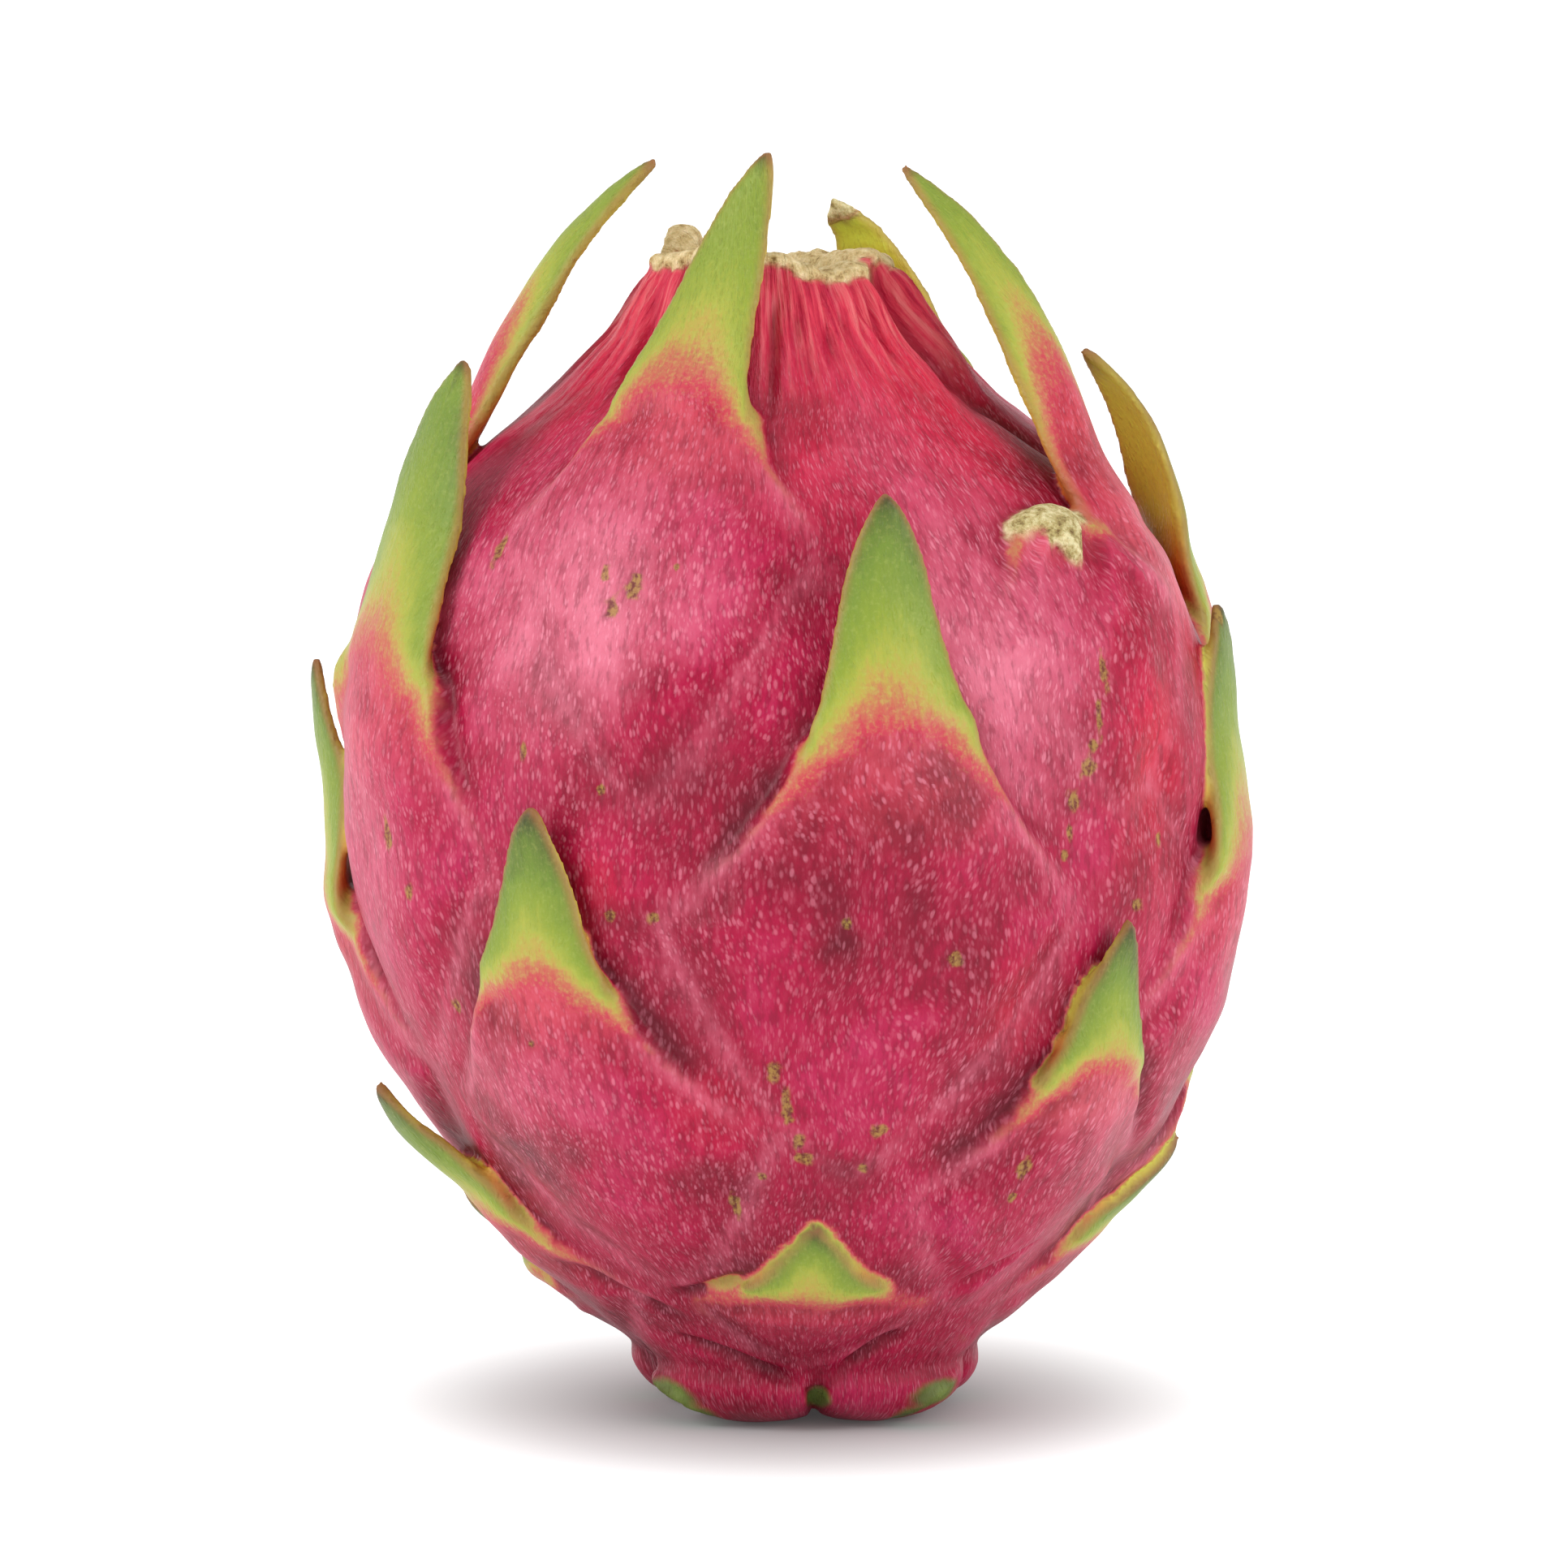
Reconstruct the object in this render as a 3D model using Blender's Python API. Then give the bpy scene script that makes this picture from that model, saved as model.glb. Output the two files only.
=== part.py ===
"""Dragon fruit (pitaya), whole and uncut.

The fruit grew as one piece: an egg-shaped body with a narrow, hollow neck where the flower dried off, a
squat foot with the flat scar of the cut stem, and leafy scales that rise out of raised, diamond-shaped
facets of the rind. Each is modelled as a closed solid and they are united into one.

Sizes are in millimetres, angles in degrees. Azimuth 0 faces -Y and 90 faces +X; +Z is up.
"""

import math
from collections import namedtuple

import bmesh
import bpy
from mathutils import Matrix, Vector

MM = 0.001

# Body
BODY_LENGTH = 115.0  # from the foot's scar to the neck's rim
BODY_WIDTH = 84.0  # across the skin at the belly, without the scales
BELLY_SHARE = 0.52  # the belly's height, as a share of the length
NECK_WIDTH = 21.0
FOOT_WIDTH = 31.0
FOOT_HEIGHT = 6.0  # the foot goes straight up this far before it opens into the body
AXIS_DRIFT = 4.0  # the neck sits this far to the left of the foot
SHOULDER_ROUND = (2.6, 1.39)  # the two powers of the arc from belly to neck
BOWL_ROUND = (2.3, 1.05)  # the same from belly to foot

# Hollow of the neck
NECK_WALL = 4.0
HOLLOW_DEPTH = 9.0
HOLLOW_TAPER = 2.0  # the hollow is this much narrower, to each side, at its bottom
RIM_WAVE = 0.7  # how far the dried rim goes up and down
RIM_REACH = 4.0  # the wave fades out this far below the rim

# Foot
SCAR_INSET = 4.0  # the flat scar ends this far inside the foot's edge
LOBE_WIDTH = 11.0
LOBE_HEIGHT = 13.0
LOBE_INSET = 4.2  # the lobes' middles lie this far inside the foot's edge

# Scales
WING_SHARE = 0.29  # how far below a scale's root its facet is widest, as a share of the facet
WING_TAPER = 0.75  # the power of the facet's taper below that
FACET_TIP = 0.4  # half-width of a facet's lower tip
EDGE_SINK = 0.7  # the facet's lower edges lie this far under the skin
ROOT_THICKNESS = 3.4
TIP_THICKNESS = 1.0
EDGE_THICKNESS = 0.9
EDGE_LIFT = 2.8  # the facet's upper edges stand this far off the skin where the scale comes free
GUTTER = 9.0  # the radius to which a free scale curls across
FACET_ROOTS = 2.2  # a facet's underside reaches this far into the body

SEGMENTS = 36  # of the body, around
PROFILE_STEPS = 20  # of the body, from foot to rim
COLUMNS = 6  # of a scale, across
SKIN_COLOUR = (0.60, 0.035, 0.17, 1.0)
SKIN_ROUGHNESS = 0.45
SMOOTH_ANGLE = 50  # faces that meet at less than this are shaded smooth

# A scale: its azimuth, its root's height on the body as a share of the body's length, the free tongue's length
# and half-width at the root, its lean from upright where it starts and where it ends (outward is positive), how
# far its tip is swept sideways, the half-width and length of the facet below it, and the facet's rise.
Scale = namedtuple("Scale", "azimuth height length half_width start end sweep wing drop rise")

SCALES = (
    # The ring round the neck
    Scale(-22, 0.895, 25.5, 7.5, -24, -14, 4.6, 15.0, 44.0, 3.0),
    Scale(70, 0.855, 30.0, 7.0, 0, -50, 0.0, 15.0, 40.0, 3.2),
    Scale(144, 0.900, 20.0, 6.5, -30, -20, -1.5, 13.0, 38.0, 2.6),
    Scale(-165, 0.880, 23.0, 7.0, -16, -30, 1.0, 14.0, 38.0, 2.8),
    Scale(-113, 0.870, 27.5, 7.0, -2, -52, 0.0, 14.0, 38.0, 3.2),
    # The shoulder
    Scale(-66, 0.680, 29.0, 8.5, 0, -26, 0.0, 17.0, 42.0, 3.6),
    Scale(14, 0.635, 23.0, 7.8, 6, -10, 0.0, 19.0, 46.0, 3.6),
    Scale(50, 0.750, 5.0, 4.0, -30, -50, 0.0, 12.0, 28.0, 2.4),
    Scale(100, 0.700, 25.0, 8.0, -12, -28, -1.0, 17.0, 42.0, 3.4),
    Scale(158, 0.675, 24.0, 8.0, -4, -24, 0.0, 18.0, 42.0, 3.4),
    Scale(-139, 0.690, 25.0, 8.0, -4, -24, 0.0, 18.0, 42.0, 3.4),
    # The belly
    Scale(-34, 0.430, 16.0, 6.6, 26, 2, 0.5, 15.0, 36.0, 3.4),
    Scale(79, 0.500, 24.0, 8.0, 6, -12, 0.0, 17.0, 40.0, 4.4),
    Scale(-100, 0.455, 23.0, 8.0, 24, -4, 0.0, 17.0, 38.0, 3.6),
    Scale(128, 0.480, 19.0, 7.5, 16, -6, 0.0, 17.0, 38.0, 3.6),
    Scale(-167, 0.465, 20.0, 7.5, 16, -6, 0.0, 18.0, 38.0, 3.6),
    # Below the belly
    Scale(46, 0.345, 14.0, 6.5, 30, 6, 0.8, 12.0, 30.0, 3.2),
    Scale(104, 0.300, 12.7, 6.0, 40, 14, 0.0, 13.0, 26.0, 3.0),
    Scale(162, 0.285, 13.0, 6.5, 40, 14, 0.0, 14.0, 26.0, 3.0),
    Scale(-132, 0.290, 13.0, 6.5, 40, 14, 0.0, 14.0, 26.0, 3.0),
    # The bowl
    Scale(-70, 0.180, 17.0, 7.0, 58, 28, 0.0, 13.0, 20.0, 2.8),
    Scale(2, 0.130, 8.0, 7.5, 46, 40, 0.0, 13.0, 14.0, 1.4),
    Scale(88, 0.165, 12.0, 6.0, 62, 34, 0.0, 12.0, 18.0, 2.6),
    Scale(-112, 0.115, 9.5, 5.5, 68, 44, 0.0, 10.0, 13.0, 2.2),
    Scale(132, 0.130, 10.0, 6.5, 62, 36, 0.0, 12.0, 16.0, 2.4),
    Scale(-166, 0.135, 11.0, 6.5, 62, 36, 0.0, 12.0, 16.0, 2.4),
)

# A foot lobe: its azimuth, its width as a share of LOBE_WIDTH, and how high its middle is in millimetres.
LOBES = (
    (-38, 1.15, 4.6),
    (42, 1.10, 4.2),
    (96, 1.0, 4.8),
    (148, 1.05, 4.4),
    (-158, 1.0, 4.8),
    (-98, 1.05, 4.5),
)


def smooth(share):
    """An ease from 0 to 1."""
    share = min(max(share, 0.0), 1.0)
    return share * share * (3.0 - 2.0 * share)


def mix(a, b, share):
    return a + (b - a) * share


def body_radius(z):
    """The skin's radius at a height on the body."""
    belly = BELLY_SHARE * BODY_LENGTH
    if z >= belly:
        share = min((z - belly) / (BODY_LENGTH - belly), 1.0)
        end, powers = NECK_WIDTH / 2, SHOULDER_ROUND
    else:
        share = min((belly - z) / (belly - FOOT_HEIGHT), 1.0)
        end, powers = FOOT_WIDTH / 2, BOWL_ROUND
    return end + (BODY_WIDTH / 2 - end) * (1.0 - share ** powers[0]) ** powers[1]


def axis_at(z):
    """The middle of the body at a height: the axis drifts sideways on its way up."""
    return Vector((AXIS_DRIFT * (0.5 - z / BODY_LENGTH), 0.0, z))


def outward(azimuth):
    return Vector((math.sin(azimuth), -math.cos(azimuth), 0.0))


def sideways(azimuth):
    return Vector((math.cos(azimuth), math.sin(azimuth), 0.0))


def surface_lean(z):
    """The skin's lean from upright at a height, as an angle: outward on the way up is positive."""
    step = 0.25
    low, high = max(z - step, 0.0), min(z + step, BODY_LENGTH)
    return math.atan2(body_radius(high) - body_radius(low), high - low)


def height_along(z, distance):
    """The height that lies a distance along the skin from another height."""
    step = 0.5 if distance > 0 else -0.5
    for _ in range(int(abs(distance) / 0.5)):
        z += step * math.cos(surface_lean(z))
        z = min(max(z, 0.0), BODY_LENGTH)
    return z


def closed_grid(rows):
    """A closed solid from rows of (outer points, inner points), each row running across the scale."""
    bm = bmesh.new()
    rings = []
    for outer, inner in rows:
        ring = [bm.verts.new(point * MM) for point in outer + inner[::-1]]
        rings.append(ring)
    for low, high in zip(rings, rings[1:]):
        count = len(low)
        for i in range(count):
            j = (i + 1) % count
            bm.faces.new((low[i], low[j], high[j], high[i]))
    half = len(rings[0]) // 2
    for ring in (rings[0], rings[-1]):
        for i in range(half - 1):
            bm.faces.new((ring[i], ring[i + 1], ring[-i - 2], ring[-i - 1]))
    bmesh.ops.triangulate(bm, faces=bm.faces)
    bmesh.ops.recalc_face_normals(bm, faces=bm.faces)
    return bm


def facet_row(scale, down):
    """A row of a scale's facet, down being its distance below the root as a share of the facet's length."""
    azimuth = math.radians(scale.azimuth)
    z = height_along(scale.height * BODY_LENGTH, -down * scale.drop)
    lean = surface_lean(z)
    radius = body_radius(z)
    rise = scale.rise * (1.0 - down) ** 0.8 - EDGE_SINK * smooth(down * 3.0 - 2.0)
    if down > WING_SHARE:
        width = scale.wing * ((1.0 - down) / (1.0 - WING_SHARE)) ** WING_TAPER + FACET_TIP
        edge = -EDGE_SINK
        freedom = 0.0
    else:
        near = down / WING_SHARE
        width = mix(scale.half_width, scale.wing, near ** 1.7)
        edge = mix(EDGE_LIFT, -EDGE_SINK, near ** 0.7)
        freedom = 1.0
    outer, inner = [], []
    for column in range(COLUMNS + 1):
        across = 2.0 * column / COLUMNS - 1.0
        turn = azimuth + across * width / radius
        normal = outward(turn) * math.cos(lean) - Vector((0, 0, math.sin(lean)))
        skin = axis_at(z) + outward(turn) * radius
        lift = mix(rise, edge, across ** 2)
        under = mix(-FACET_ROOTS, edge - EDGE_THICKNESS, freedom * across ** 4)
        outer.append(skin + normal * lift)
        inner.append(skin + normal * min(under, lift - EDGE_THICKNESS))
    return outer, inner


def tongue_rows(scale, steps):
    """The rows of a scale's free tongue, from just above its root to its tip."""
    azimuth = math.radians(scale.azimuth)
    root = scale.height * BODY_LENGTH
    skin_lean = surface_lean(root)
    start, end = math.radians(scale.start), math.radians(scale.end)
    out, side, up = outward(azimuth), sideways(azimuth), Vector((0, 0, 1))
    point = axis_at(root) + out * body_radius(root)
    fine = 10  # walking steps for each row
    for row in range(1, steps + 1):
        for walk in range(fine):
            share = (row - 1 + (walk + 0.5) / fine) / steps
            lean = mix(mix(skin_lean, start, smooth(share / 0.2)), end, smooth(share) * share ** 0.3)
            point = point + (out * math.sin(lean) + up * math.cos(lean)) * scale.length / (steps * fine)
        share = row / steps
        normal = out * math.cos(lean) - up * math.sin(lean)
        width = scale.half_width * (1.0 - 0.75 * share) * math.sqrt(1.0 - min(share, 0.995) ** 6)
        width = max(width, 0.5)
        curl = mix(body_radius(root), GUTTER, smooth(share / 0.35))
        thickness = mix(ROOT_THICKNESS, TIP_THICKNESS, smooth(share * 1.3))
        middle = mix(scale.rise - ROOT_THICKNESS / 2, 0.0, smooth(share / 0.6))
        centre = point + side * scale.sweep * share ** 2
        outer, inner = [], []
        for column in range(COLUMNS + 1):
            across = 2.0 * column / COLUMNS - 1.0
            turn = across * width / curl
            spot = centre + side * curl * math.sin(turn) + normal * (curl * (math.cos(turn) - 1.0) + middle)
            facing = normal * math.cos(turn) + side * math.sin(turn)
            half = mix(thickness, EDGE_THICKNESS, across ** 2) / 2
            outer.append(spot + facing * half)
            inner.append(spot - facing * half)
        yield outer, inner


def scale_solid(scale):
    """One leafy scale with the facet it grows out of."""
    downs = (1.0, 0.82, 0.62, 0.44, WING_SHARE, 0.62 * WING_SHARE, 0.28 * WING_SHARE, 0.0)
    rows = [facet_row(scale, down) for down in downs]
    steps = 6 if scale.length > 11.0 else 4
    rows += list(tongue_rows(scale, steps))
    return closed_grid(rows)


def body_solid():
    """The body turned about its drifting axis: scar, foot, belly, neck and the hollow inside the rim."""
    foot, hollow = FOOT_WIDTH / 2, NECK_WIDTH / 2 - NECK_WALL
    outline = [(0.0, 0.0), (foot - SCAR_INSET, 0.0), (foot - 0.15 * SCAR_INSET, 0.4 * SCAR_INSET)]
    for step in range(PROFILE_STEPS + 1):
        turn = math.pi * step / PROFILE_STEPS
        z = mix(FOOT_HEIGHT * 0.7, BODY_LENGTH - NECK_WALL / 2, (1.0 - math.cos(turn)) / 2)
        outline.append((body_radius(z), z))
    outline += [
        (NECK_WIDTH / 2 - 0.3 * NECK_WALL, BODY_LENGTH),
        (hollow + 0.15 * NECK_WALL, BODY_LENGTH - 0.1 * NECK_WALL),
        (hollow, BODY_LENGTH - HOLLOW_DEPTH / 2),
        (hollow - HOLLOW_TAPER, BODY_LENGTH - HOLLOW_DEPTH),
        (0.0, BODY_LENGTH - HOLLOW_DEPTH),
    ]
    bm = bmesh.new()
    rings = []
    for radius, z in outline:
        if radius == 0.0:
            rings.append([bm.verts.new(axis_at(z) * MM)] * SEGMENTS)
            continue
        ring = []
        for segment in range(SEGMENTS):
            azimuth = math.tau * segment / SEGMENTS
            wave = RIM_WAVE * (math.sin(3 * azimuth + 1.0) + 0.5 * math.sin(7 * azimuth)) / 1.5
            lift = wave * smooth((z - BODY_LENGTH) / RIM_REACH + 1.0)
            ring.append(bm.verts.new((axis_at(z) + outward(azimuth) * radius + Vector((0, 0, lift))) * MM))
        rings.append(ring)
    for low, high in zip(rings, rings[1:]):
        for i in range(SEGMENTS):
            j = (i + 1) % SEGMENTS
            corners = dict.fromkeys((low[i], low[j], high[j], high[i]))
            bm.faces.new(list(corners))
    bmesh.ops.recalc_face_normals(bm, faces=bm.faces)
    return bm


def lobe_solid(azimuth, width_share, middle):
    """One rounded lobe of the foot, an upright egg."""
    bm = bmesh.new()
    bmesh.ops.create_icosphere(bm, subdivisions=2, radius=0.5)
    width = LOBE_WIDTH * width_share
    ring = FOOT_WIDTH / 2 - LOBE_INSET
    stretch = Matrix.Diagonal((width, width, LOBE_HEIGHT, 1.0))
    place = Matrix.Translation(axis_at(middle) + outward(math.radians(azimuth)) * ring)
    bmesh.ops.transform(bm, matrix=Matrix.Scale(MM, 4) @ place @ stretch, verts=bm.verts)
    return bm


def object_from(bm, name, collection):
    mesh = bpy.data.meshes.new(name)
    bm.to_mesh(mesh)
    bm.free()
    made = bpy.data.objects.new(name, mesh)
    collection.objects.link(made)
    return made


def skin_material():
    material = bpy.data.materials.new("rind")
    material.use_nodes = True
    shader = material.node_tree.nodes["Principled BSDF"]
    shader.inputs["Base Color"].default_value = SKIN_COLOUR
    shader.inputs["Roughness"].default_value = SKIN_ROUGHNESS
    shader.inputs["Metallic"].default_value = 0.0
    return material


def ground_cutter(collection):
    """A slab under the ground plane, which leaves the scar and the lobes flat where they stand."""
    bm = bmesh.new()
    bmesh.ops.create_cube(bm, size=1.0)
    slab = BODY_WIDTH * MM
    below = Matrix.Translation((0, 0, -slab / 2))
    bmesh.ops.transform(bm, matrix=below @ Matrix.Scale(slab, 4), verts=bm.verts)
    return object_from(bm, "ground", collection)


def unite(body, outgrowths):
    """Unite the outgrowths with the body, then cut the lot off flat at the ground."""
    union = body.modifiers.new("union", "BOOLEAN")
    union.operation = "UNION"
    union.operand_type = "COLLECTION"
    union.collection = outgrowths
    union.solver = "EXACT"
    level = body.modifiers.new("level", "BOOLEAN")
    level.operation = "DIFFERENCE"
    level.object = ground_cutter(bpy.context.scene.collection)
    level.solver = "EXACT"
    view = bpy.context.evaluated_depsgraph_get()
    united = bpy.data.meshes.new_from_object(body.evaluated_get(view))
    bpy.data.objects.remove(level.object)
    body.modifiers.clear()
    body.data = united
    for piece in list(outgrowths.objects):
        bpy.data.objects.remove(piece)
    bpy.data.collections.remove(outgrowths)


def stand_on_origin(fruit):
    """Bring the middle of the fruit's box, on the ground, to the origin."""
    bm = bmesh.new()
    bm.from_mesh(fruit.data)
    bmesh.ops.triangulate(bm, faces=bm.faces)
    low = Vector([min(v.co[i] for v in bm.verts) for i in range(3)])
    high = Vector([max(v.co[i] for v in bm.verts) for i in range(3)])
    shift = Vector((-(low.x + high.x) / 2, -(low.y + high.y) / 2, -low.z))
    bmesh.ops.translate(bm, vec=shift, verts=bm.verts)
    bm.to_mesh(fruit.data)
    bm.free()


def main():
    for old in list(bpy.data.objects):
        bpy.data.objects.remove(old)
    scene = bpy.context.scene.collection
    outgrowths = bpy.data.collections.new("outgrowths")
    scene.children.link(outgrowths)
    fruit = object_from(body_solid(), "dragon_fruit", scene)
    for number, scale in enumerate(SCALES):
        object_from(scale_solid(scale), f"scale_{number}", outgrowths)
    for azimuth, width_share, middle in LOBES:
        object_from(lobe_solid(azimuth, width_share, middle), "lobe", outgrowths)
    unite(fruit, outgrowths)
    stand_on_origin(fruit)
    fruit.data.materials.clear()
    fruit.data.materials.append(skin_material())
    fruit.data.shade_smooth()
    fruit.data.set_sharp_from_angle(angle=math.radians(SMOOTH_ANGLE))


main()
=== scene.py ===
"""The dragon fruit's looks: one skin of rind, scales, dried rim and foot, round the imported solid."""

import math
from collections import namedtuple

import bmesh
import bpy
import numpy as np
from mathutils import Matrix, Vector, noise
from mathutils.bvhtree import BVHTree


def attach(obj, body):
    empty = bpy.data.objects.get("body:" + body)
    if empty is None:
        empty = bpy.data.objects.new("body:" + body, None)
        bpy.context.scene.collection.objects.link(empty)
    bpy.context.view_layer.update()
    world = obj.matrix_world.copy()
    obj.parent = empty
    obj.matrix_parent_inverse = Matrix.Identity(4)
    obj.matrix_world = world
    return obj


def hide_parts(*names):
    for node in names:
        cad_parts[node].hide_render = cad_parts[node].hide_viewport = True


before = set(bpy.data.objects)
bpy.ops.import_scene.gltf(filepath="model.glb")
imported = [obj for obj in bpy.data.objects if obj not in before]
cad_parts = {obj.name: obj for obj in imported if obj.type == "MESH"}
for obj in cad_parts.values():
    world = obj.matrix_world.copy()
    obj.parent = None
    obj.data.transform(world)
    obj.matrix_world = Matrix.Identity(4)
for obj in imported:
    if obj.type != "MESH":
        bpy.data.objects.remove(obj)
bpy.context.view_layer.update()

# ---------------------------------------------------------------------------------------------------------
# Sizes. The fruit is shaped in millimetres on its own axis and brought into the frame at the end. Azimuths are
# in degrees: 0 faces -Y and 90 faces +X.

MM = 0.001
BODY_LENGTH = 115.0
BODY_WIDTH = 84.0
BELLY_SHARE = 0.52
NECK_WIDTH = 23.0
FOOT_WIDTH = 31.0
FOOT_HEIGHT = 6.0
AXIS_DRIFT = 4.0
AXIS_SHIFT = (-0.2, -0.3)  # from the axis' middle to the middle of the frame
SHOULDER_ROUND = (2.6, 1.39)
BOWL_ROUND = (2.3, 1.05)
NECK_WALL = 4.0
HOLLOW_DEPTH = 9.0
RIM_TILT = 2.2  # how much lower the rim is at the back
NECK_WAIST = 1.9  # how far the neck draws in below its rim

ROOT_THICKNESS = 3.2
TIP_THICKNESS = 1.2
EDGE_THICKNESS = 0.95

GRAIN = 0.42  # the size of the finest shape kept when the pieces are grown into one
MOST_TRIANGLES = 192000

# A scale has a free tongue and, below its root, the facet of skin that it grows from:
#   azimuth, height      where its root is, in degrees and as a share of the body's length
#   length, half_width   the tongue's
#   start, end           the tongue's lean from upright at its root and at its tip, in degrees
#   sweep                how far its tip is drawn to the side
#   wing, fall, drop     half of the facet's greatest width, how far below the root it is that wide, and how
#                        far below the root the facet ends
#   rise, lip            how far the facet's middle and its edge stand out
#   trail                how far the facet's lower end is drawn to the side
#   gutter               the radius that the tongue's two edges curl round
#   twist, dry           how far the tongue turns on itself, and whether its tip is dry
Scale = namedtuple(
    "Scale",
    "name azimuth height length half_width start end sweep wing fall drop rise lip trail gutter twist dry",
    defaults=(0.0, 9.0, 0.0, 0.0),
)

SCALES = (
    # The ring round the neck
    Scale("crown_front", -22, 0.895, 25.2, 6.0, -26, -14, 4.6, 17.0, 18.0, 44.0, 3.2, 2.6, 2.0, 11.0),
    Scale("crown_right", 68, 0.785, 39.8, 5.4, -10, -50, 0.0, 15.0, 15.0, 36.0, 3.4, 2.6, 0.0, 12.0, -24),
    Scale("crown_rear", 142, 0.890, 20.5, 5.8, -20, -44, 1.6, 14.0, 15.0, 38.0, 2.6, 2.2, 0.0, 12.0, 20, 1.0),
    Scale("crown_back", -165, 0.880, 17.0, 6.2, -18, -38, 1.0, 15.0, 16.0, 38.0, 2.8, 2.4),
    Scale("crown_left", -93, 0.800, 38.5, 5.4, -10, -52, 0.0, 15.0, 15.0, 36.0, 3.4, 2.6, 0.0, 7.0, 24),
    # The shoulder
    Scale("shoulder_left", -68, 0.670, 29.5, 9.0, 0, -26, 0.0, 19.0, 18.0, 42.0, 3.8, 3.0, 0.0, 14.0, 12),
    Scale("shoulder_front", 14, 0.640, 22.0, 6.9, 7, -10, 0.0, 22.0, 19.0, 46.0, 3.8, 2.8, -4.0, 15.0),
    Scale("shoulder_right", 100, 0.690, 28.0, 6.4, 6, -44, -1.0, 18.0, 17.0, 42.0, 3.6, 2.4, 0.0, 12.0, 20),
    Scale("shoulder_back", 158, 0.675, 24.0, 7.4, -4, -24, 0.0, 20.0, 18.0, 42.0, 3.4, 2.6),
    Scale("shoulder_rear", -139, 0.690, 21.0, 7.4, -8, -40, 0.0, 20.0, 18.0, 42.0, 3.4, 2.6),
    # The belly
    Scale("belly_front", -34, 0.430, 16.5, 6.3, 26, 3, 0.5, 19.0, 17.0, 38.0, 3.6, 2.8, 2.0, 19.0),
    Scale("belly_right", 79, 0.500, 24.0, 7.4, 12, -9, 0.0, 18.0, 16.0, 40.0, 4.2, 2.4, 0.0, 18.0, -8),
    Scale("belly_left", -94, 0.450, 23.5, 6.6, 30, 0, 0.0, 18.0, 16.0, 38.0, 4.8, 3.0, 0.0, 9.0, 16),
    Scale("belly_rear", 128, 0.480, 19.0, 7.2, 16, -6, 0.0, 19.0, 17.0, 38.0, 3.6, 2.6),
    Scale("belly_back", -167, 0.465, 20.0, 7.2, 16, -6, 0.0, 20.0, 17.0, 38.0, 3.6, 2.6),
    # Below the belly
    Scale("lower_front", 46, 0.345, 14.5, 6.0, 30, 8, 0.8, 15.0, 14.0, 32.0, 3.4, 2.6, -2.0, 17.0),
    Scale("lower_right", 99, 0.300, 13.0, 6.0, 40, 14, 0.0, 15.0, 13.0, 27.0, 3.0, 2.2),
    Scale("lower_back", 162, 0.285, 13.0, 6.3, 40, 14, 0.0, 16.0, 13.0, 27.0, 3.0, 2.2),
    Scale("lower_rear", -132, 0.290, 13.0, 6.3, 40, 14, 0.0, 16.0, 13.0, 27.0, 3.0, 2.2),
    # The bowl
    Scale("bowl_left", -74, 0.200, 17.5, 5.2, 76, 26, 0.0, 14.0, 10.0, 21.0, 3.2, 2.2, 0.0, 9.0, 14),
    Scale("bowl_front", 2, 0.150, 8.4, 5.2, 42, 30, 0.0, 12.5, 3.6, 14.0, 2.5, 2.0, 0.0, 14.0),
    Scale("bowl_right", 86, 0.168, 12.8, 5.4, 76, 26, 0.0, 12.0, 9.0, 18.0, 2.6, 2.0),
    Scale("bowl_far_left", -97, 0.140, 11.0, 4.4, 96, 30, 0.0, 10.0, 6.0, 13.0, 4.2, 2.4, 0.0, 9.0, 10),
    Scale("bowl_rear", 132, 0.130, 10.0, 6.2, 62, 36, 0.0, 12.0, 8.0, 16.0, 2.4, 1.8),
    Scale("bowl_back", -166, 0.135, 11.0, 6.2, 62, 36, 0.0, 12.0, 8.0, 16.0, 2.4, 1.8),
)
# The scale that broke off and withered, on the right of the shoulder: its tip hangs down, dry
WITHERED = Scale(
    "withered", 49, 0.785, 9.8, 4.3, 112, 158, 0.0, 14.0, 11.0, 30.0, 2.6, 1.7, 2.0, 7.0, 0.0, 1.0
)

# The foot's lobes: azimuth, half the angle that one spans, and how far it bulges
LOBES = (
    (-38, 42, 1.0),
    (43, 39, 1.0),
    (98, 28, 0.9),
    (150, 30, 0.9),
    (-156, 30, 0.9),
    (-101, 26, 1.0),
)
LOBE_BULGE = 3.4
LOBE_HEIGHT = 14.0
SCAR_INSET = 5.5
ROOT_FLARE = 1.2  # how much wider a tongue is at its root than it would taper from
ANCHOR = 5.0  # the furthest that a tongue reaches down inside its facet
GROOVE_DEPTH = 0.15  # how far the skin sinks just outside a facet's edge

# How finely the pieces are drawn
TONGUE_COLUMNS = 26
TONGUE_ROW = 0.5
TONGUE_WALK = 400
BODY_STEPS = 500
BODY_RINGS = 225
RIM_STEPS = 200

# Marks of skin that belongs to no scale
FAR_BELOW = 40.0
FAR_OUTSIDE = 20.0
PLAIN_REACH = 20.0
WITHERED_REACH = 8.0  # the length that colours the withered scale's facet


# ---------------------------------------------------------------------------------------------------------
# Numbers: these take plain numbers or whole arrays of them.


def mix(a, b, share):
    return a + (b - a) * share


def clamp(value):
    return np.clip(value, 0.0, 1.0)


def smooth(share):
    share = clamp(share)
    return share * share * (3.0 - 2.0 * share)


def between(value, low, high):
    """How far a value has gone from low to high, eased, from 0 to 1."""
    return smooth((value - low) / (high - low))


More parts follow.
